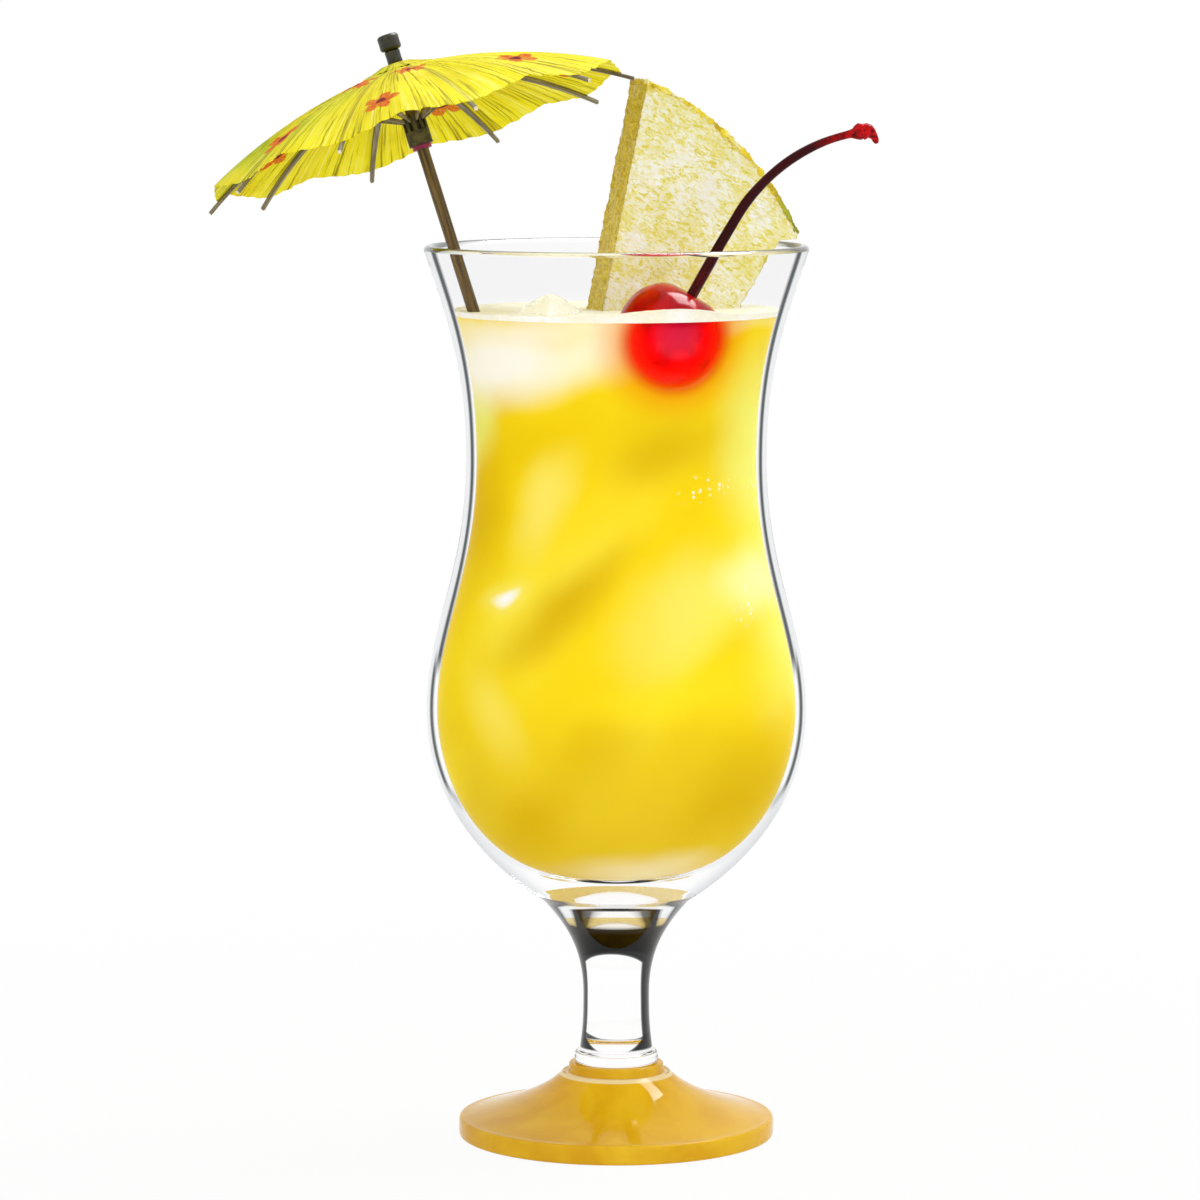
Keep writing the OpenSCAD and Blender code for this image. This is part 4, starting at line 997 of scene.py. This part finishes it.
# Hub, thread, runner and stop ring. The hub and the runner are little turned sleeves, sawn with a slot
# for each rib and strut; a cotton thread strings the ribs in the hub. A plastic ring stops the runner.
turned_wood = wood("turned_wood", shade(96, 88, 42), shade(60, 54, 22), shade(28, 25, 8),
                   500, 900, 0.5, False)
magenta_tones = [(0.3, shade(120, 18, 62)), (0.7, shade(168, 34, 92))]
magenta = worn_paint("magenta_plastic", 600.0, 3.0, magenta_tones, 0.35)[0]
cotton_tones = [(0.3, shade(196, 184, 150)), (0.7, shade(238, 230, 206))]
cotton = worn_paint("cotton_thread", 2500.0, 2.0, cotton_tones, 0.8)[0]
refinish("parasol_hub", turned_wood)
refinish("runner", turned_wood)
refinish("stop_ring", magenta)
refinish("hub_thread", cotton)

# Ribs and struts. Strips split from one bamboo cane and bowed over heat, each with a tongue on the
# hub's thread; their sawn ends show pale pith. Forked struts pin to them and push them open.
RIB_LEN, RIB_BOW, RIB_W, RIB_T, RIB_SLOPE = 47.6, 2.6, 1.4, 0.8, math.radians(20.6)
RIB_STEPS, RIB_BEVEL, RIB_END_SHARE, RIB_WAVE, RIB_LOOK, CANE_STEP = 60, 0.25, 0.6, 0.05, 0.1, 71
RIB_WIDTHS = ((0, 1.9, 2.2, 19.7, 22.2, RIB_LEN), (0.7, 0.7, 0.8, 0.8, RIB_W, 0.8))
RIB_SECTION = ((1, 0.72), (0.86, 1), (-0.86, 1), (-1, 0.72),
               (-1, -0.72), (-0.86, -1), (0.86, -1), (1, -0.72))
bow_r = ((RIB_LEN / 2) ** 2 + RIB_BOW ** 2) / (2 * RIB_BOW)
rib_bamboo = wood("rib_bamboo", shade(166, 154, 116), shade(122, 112, 80), shade(66, 60, 38), 90, 2600, 0.5)
pith, tree, shader = paint("bamboo_end_grain")
dots = cellular(tree, where(tree), 5200.0)
pith_tone = ramp(tree, dots, [(0.1, shade(150, 128, 88)), (0.4, shade(238, 228, 200))])
feed(tree, shader, {"Base Color": pith_tone, "Roughness": 0.7})


def bow_up(x, lift=0.0):
    """Height of a rib's arc above the line between its ends."""
    return math.sqrt((bow_r + lift) ** 2 - (x - RIB_LEN / 2) ** 2) + RIB_BOW - bow_r


def rib_stand(i):
    """Frame of a rib: x out along it, z up through the paper."""
    hinge = joints[f"rib_{i}_hinge"]
    y = Vector(hinge["axis"])
    out = y.cross(parasol_up).normalized()
    x = out * math.cos(RIB_SLOPE) - parasol_up * math.sin(RIB_SLOPE)
    return Matrix.Translation(Vector(hinge["pos_m"]) / MM) @ Matrix((x, y, x.cross(y))).transposed().to_4x4()


for i in range(1, ribs_n + 1):
    points, places, faces = [], [], []
    steps = [0.0] + list(np.linspace(RIB_BEVEL, RIB_LEN, RIB_STEPS))
    for k, x in enumerate(steps):
        lean = math.atan2(bow_up(min(x + RIB_LOOK, RIB_LEN)) - bow_up(max(x - RIB_LOOK, 0)), 2 * RIB_LOOK)
        small = RIB_END_SHARE if k == 0 else 1.0
        wave = 1 + RIB_WAVE * noise.noise(Vector((x * 0.3, i * 5.0, 0)))
        half = float(np.interp(x, *RIB_WIDTHS)) / 2 * small * wave
        for j, (w, t) in enumerate(RIB_SECTION):
            up = t * RIB_T / 2 * small
            points.append((x - up * math.sin(lean), w * half, bow_up(x) + up * math.cos(lean)))
            places.append((x + i * CANE_STEP, j * 0.45))
    n = len(RIB_SECTION)
    for k in range(len(steps) - 1):
        faces += [(k * n + j, k * n + (j + 1) % n, (k + 1) * n + (j + 1) % n, (k + 1) * n + j)
                  for j in range(n)]
    faces += [tuple(range(n))[::-1], tuple(range((len(steps) - 1) * n, len(steps) * n))]
    stand = rib_stand(i)
    rib = piece(f"rib_strip_{i}", [stand @ Vector(p) for p in points], faces, 30, places)
    rib.data.materials.append(rib_bamboo)
    rib.data.materials.append(pith)
    rib.data.polygons[len(faces) - 1].material_index = 1
    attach(rib, f"rib_{i}")
    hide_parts(f"rib_{i}")

strut_bamboo = wood("strut_bamboo", shade(176, 162, 120), shade(134, 120, 82), shade(76, 66, 40),
                    700, 700, 0.55, False)
for i in range(1, ribs_n + 1):
    refinish(f"strut_{i}", strut_bamboo)

# Paper. One sheet of thin dyed paper, printed with loose blossoms, glued over the ribs and pressed
# into fine pleats so that it can fold. Each half gore is creased along its rib and halfway to the next.
PAPER_LEN, PAPER_START, PAPER_T, PAPER_LIFT = 44.8, 4.0, 0.16, 0.15
PLEAT_RISE, CREASE_SHARE, SCALLOP = math.radians(4), 0.76, 1.1
PAPER_LONG, PAPER_WIDE = 44, 16
RAGGED, PLEATS, PLEAT_DEEP, PLEAT_FROM, CRUSH = 0.3, 7, 0.16, 12, 0.22
CREASE_FOLLOWS_IN, CREASE_FOLLOWS_OUT = 0.38, 0.77
RAYS_ROUND, RAYS_ALONG, RIB_SHADE_IN, RIB_SHADE_OUT = 62.0, 34.0, 0.3, 0.65
hinge_up = RIB_T / 2 + PAPER_LIFT
crease_up = hinge_up + RIB_BOW * CREASE_SHARE
half_step = math.pi / ribs_n
pivot_r = (Vector(joints["rib_1_hinge"]["pos_m"]) / MM - hub_at).length
rise_cos, rise_sin = math.cos(PLEAT_RISE), math.sin(PLEAT_RISE)
slope_cos, slope_sin = math.cos(RIB_SLOPE), math.sin(RIB_SLOPE)


def crease_line(x, gap=0.03):
    """Distance from a rib to the crease halfway to the next one."""
    up = bow_up(x, hinge_up) - crease_up
    reach = (pivot_r + x * slope_cos + (crease_up + up * rise_cos) * slope_sin) * math.sin(half_step)
    reach += up * rise_sin * math.cos(half_step) - gap
    return reach / (rise_cos * math.cos(half_step) - rise_sin * slope_sin * math.sin(half_step))


def half_gore(i, hand):
    """Points, faces and plan of half a gore; hand is 1 for the left half and -1 for the right one."""
    points, places, faces = [], [], []
    for under in (0, 1):
        for k in range(PAPER_LONG + 1):
            for j in range(PAPER_WIDE + 1):
                t = j / PAPER_WIDE
                turned = (i - 1) * 2 * half_step + hand * t * half_step
                ragged = RAGGED * noise.noise(Vector((math.cos(turned) * 60, math.sin(turned) * 60, 2)))
                end = PAPER_LEN - 2 * SCALLOP * t ** 1.4 + ragged
                x = between(PAPER_START, end, k / PAPER_LONG)
                up = bow_up(x, hinge_up)
                y = between((up - crease_up) * math.tan(PLEAT_RISE), crease_line(x), t)
                flat = math.sin(math.pi * t) ** 0.6 if 0 < t < 1 else 0.0
                fold = math.sin(t * math.pi * PLEATS) * PLEAT_DEEP * min(1, (x - PAPER_START) / PLEAT_FROM)
                spot = Vector((math.cos(turned) * x * 0.5, math.sin(turned) * x * 0.5, 0))
                up += flat * (fold + CRUSH * noise.fractal(spot, 1.0, 2.0, 3)) - under * PAPER_T
                side = y * rise_cos - (up - crease_up) * rise_sin
                points.append((x, hand * side, crease_up + (up - crease_up) * rise_cos + y * rise_sin))
                places.append(((pivot_r + x) * math.cos(turned), (pivot_r + x) * math.sin(turned)))
    row = PAPER_WIDE + 1
    sheet = row * (PAPER_LONG + 1)
    for k in range(PAPER_LONG):
        for j in range(PAPER_WIDE):
            a, b, c, d = k * row + j, (k + 1) * row + j, (k + 1) * row + j + 1, k * row + j + 1
            faces += [(a, b, c, d), (d + sheet, c + sheet, b + sheet, a + sheet)]
    border = [k * row for k in range(PAPER_LONG)] + [PAPER_LONG * row + j for j in range(PAPER_WIDE)]
    border += [k * row + PAPER_WIDE for k in range(PAPER_LONG, 0, -1)] + list(range(PAPER_WIDE, 0, -1))
    for a, b in zip(border, border[1:] + border[:1]):
        faces.append((b, a, a + sheet, b + sheet))
    return points, (faces if hand > 0 else [f[::-1] for f in faces]), places


blossom, got, given = node_group(
    "Blossom", {"Plan": "Vector", "Centre": "Vector", "Size": "Float", "Turn": "Float"},
    {"Petals": "Float", "Heart": "Float", "Veins": "Float"})
away = vectors(blossom, "SUBTRACT", got["Plan"], got["Centre"])
parts = add(blossom, "SeparateXYZ", {0: away}).outputs
far = maths(blossom, "DIVIDE", vectors(blossom, "LENGTH", away), got["Size"])
bearing = maths(blossom, "ADD", maths(blossom, "ARCTAN2", parts[1], parts[0]), got["Turn"])
lobes = maths(blossom, "ABSOLUTE", maths(blossom, "COSINE", maths(blossom, "MULTIPLY", bearing, 2.5)))
rim = maths(blossom, "ADD", maths(blossom, "MULTIPLY", lobes, 0.5), 0.5)
petals = spread(blossom, maths(blossom, "SUBTRACT", rim, far), 0.0, 0.08)
spokes = maths(blossom, "ABSOLUTE", maths(blossom, "SINE", maths(blossom, "MULTIPLY", bearing, 10)))
petal_veins = maths(blossom, "MULTIPLY", maths(blossom, "LESS_THAN", spokes, 0.2), petals)
heart = spread(blossom, far, 0.22, 0.3, 1.0, 0.0)
feed(blossom, given, {"Petals": petals, "Heart": heart, "Veins": petal_veins})

dyed_paper, tree, shader = paint("dyed_paper")
plan = laid_flat(tree)
pulp = noisy(tree, where(tree), 420.0, 6.0, Roughness=0.7)
blot = noisy(tree, plan, 60.0, 3.0)
plan_parts = add(tree, "SeparateXYZ", {0: plan}).outputs
bearing = maths(tree, "ARCTAN2", plan_parts[1], plan_parts[0])
reach = vectors(tree, "LENGTH", plan)
rays = add(tree, "CombineXYZ", {0: maths(tree, "MULTIPLY", bearing, RAYS_ROUND),
                                1: maths(tree, "MULTIPLY", reach, RAYS_ALONG)})
creases = noisy(tree, rays.outputs[0], 1.0, 3.5, Roughness=0.62)
dye = ramp(tree, blot, [(0.3, shade(230, 214, 18)), (0.55, shade(246, 234, 24)), (0.75, shade(252, 244, 66))])
# A greener, darker patch on the left: partly the dye's own tone, partly painted shade on that side.
left_in_plan = parasol_stand.to_3x3().inverted() @ Vector((-27, -8, 0))
green_and_shaded_left = patch(tree, plan, (left_in_plan.x, left_in_plan.y, 0), (34, 34, 20), 0, 0.15, 1.0)
green_and_shaded_left = maths(tree, "MULTIPLY", green_and_shaded_left, spread(tree, blot, 0.35, 0.58))
dye = blend_of(tree, green_and_shaded_left, dye, shade(146, 168, 8))
# Painted shade: a dark line along each rib, where its shadow shows through the paper.
from_rib = maths(tree, "FRACT", maths(tree, "ADD", maths(tree, "DIVIDE", bearing, 2 * half_step), 0.5))
from_rib = maths(tree, "ABSOLUTE", maths(tree, "SUBTRACT", from_rib, 0.5))
from_rib = maths(tree, "MULTIPLY", from_rib, maths(tree, "MULTIPLY", reach, 2 * half_step))
rib_shade = spread(tree, from_rib, RIB_SHADE_IN * MM, RIB_SHADE_OUT * MM, 0.5, 0.0)
dye = blend_of(tree, rib_shade, dye, shade(140, 120, 14))
# Painted shade and highlight: dark lines in the creases and pale ones along the folds.
dye = blend_of(tree, ramp(tree, creases, [(0.36, grey(0.9)), (0.47, grey(0))]), dye, shade(146, 130, 6))
dye = blend_of(tree, ramp(tree, creases, [(0.56, grey(0)), (0.7, grey(0.75))]), dye, shade(255, 250, 150))
inked = spread(tree, pulp, 0.3, 0.55, 0.5, 0.95)
for x, y, size, turned in ((12, 5, 5.2, 0.3), (-9, -11, 5.6, 1.1), (-13, 9, 4.6, 0.7), (3, -15, 4.4, 2.0),
                           (25, -16, 5.0, 0.2), (-27, -20, 5.4, 1.6), (-31, 14, 4.8, 0.9), (6, 30, 5.2, 0.5),
                           (33, 15, 4.2, 1.3), (-4, -35, 4.6, 0.1)):
    bloom = add(tree, "Group", {"Plan": plan, "Centre": (x * MM, y * MM, 0), "Size": size * MM,
                                "Turn": turned}, node_tree=blossom).outputs
    dye = blend_of(tree, maths(tree, "MULTIPLY", bloom["Petals"], inked), dye, shade(222, 92, 14))
    dye = blend_of(tree, maths(tree, "MULTIPLY", bloom["Veins"], 0.6), dye, shade(164, 34, 12))
    dye = blend_of(tree, bloom["Heart"], dye, shade(120, 22, 16))
paper_height = maths(tree, "ADD", maths(tree, "MULTIPLY", pulp, 0.4), creases)
# Painted glow: the paper gives off a little light in its own colour.
feed(tree, shader, {"Base Color": dye, "Emission Color": dye, "Emission Strength": 0.06, "Roughness": 0.72,
                    "Specular IOR Level": 0.15, "Normal": bumps(tree, paper_height, 0.4, 0.4)})

for i in range(1, ribs_n + 1):
    stand = rib_stand(i)
    for side, hand in (("right", -1), ("left", 1)):
        points, faces, places = half_gore(i, hand)
        sheet = piece(f"paper_gore_{i}_{side}", [stand @ Vector(p) for p in points], faces, 50, places)
        sheet.data.materials.append(dyed_paper)
        tip = Vector((PAPER_LEN, 0, crease_up))
        inner, outer = (Vector((x, hand * crease_line(x), crease_up)) for x in (PAPER_START, PAPER_LEN))
        across = CREASE_FOLLOWS_OUT / outer.y
        rise = Vector(((CREASE_FOLLOWS_IN - across * inner.y) / (inner.x - tip.x), across, 0))
        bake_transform(sheet)
        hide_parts(f"paper_{i}_{side}")
        crease_line(PAPER_LEN) * MM

# Crown. A little disc of the same paper, cut with a ragged edge and pleated like the canopy. It is
# glued on the hub round the neck and hides the ribs' inner ends.
CROWN_TURNS, CROWN_PLEATS, CROWN_DEEP, CROWN_RAGGED = 120, 30, 0.09, 0.04
crown_line = [(NECK_R + 0.05, HUB_UP + 0.3), (2.6, HUB_UP + 0.26), (3.5, HUB_UP + 0.16),
              (4.6, 0.98), (5.8, 0.52), (6.9, 0.22), (7.7, 0.08)]
crown_last = len(crown_line) - 1
points, places, faces = [], [], []
for under in (0, 1):
    for k, (r, z) in enumerate(crown_line):
        for j in range(CROWN_TURNS):
            a = 2 * math.pi * j / CROWN_TURNS
            ragged = CROWN_RAGGED * noise.noise(Vector((math.cos(a) * 9, math.sin(a) * 9, 5)))
            out = r * (1 + ragged * (k == crown_last))
            pleat = CROWN_DEEP * math.sin(a * CROWN_PLEATS) * min(1, max(0, r - 3.2) / 2)
            points.append((out * math.cos(a), out * math.sin(a), z + pleat - under * PAPER_T))
            places.append((out * math.cos(a), out * math.sin(a)))
skin_n = len(crown_line) * CROWN_TURNS
for k in range(crown_last):
    for j in range(CROWN_TURNS):
        n = (j + 1) % CROWN_TURNS
        here, beyond = k * CROWN_TURNS, (k + 1) * CROWN_TURNS
        face = (here + j, beyond + j, beyond + n, here + n)
        faces += [face, tuple(v + skin_n for v in face[::-1])]
last = crown_last * CROWN_TURNS
for j in range(CROWN_TURNS):
    n = (j + 1) % CROWN_TURNS
    faces += [(j, n, n + skin_n, j + skin_n), (last + n, last + j, last + j + skin_n, last + n + skin_n)]
crown = piece("paper_crown", [parasol_stand @ Vector(p) for p in points], faces, 60, places)
crown.data.materials.append(dyed_paper)
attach(crown, "parasol")

bpy.context.view_layer.update()
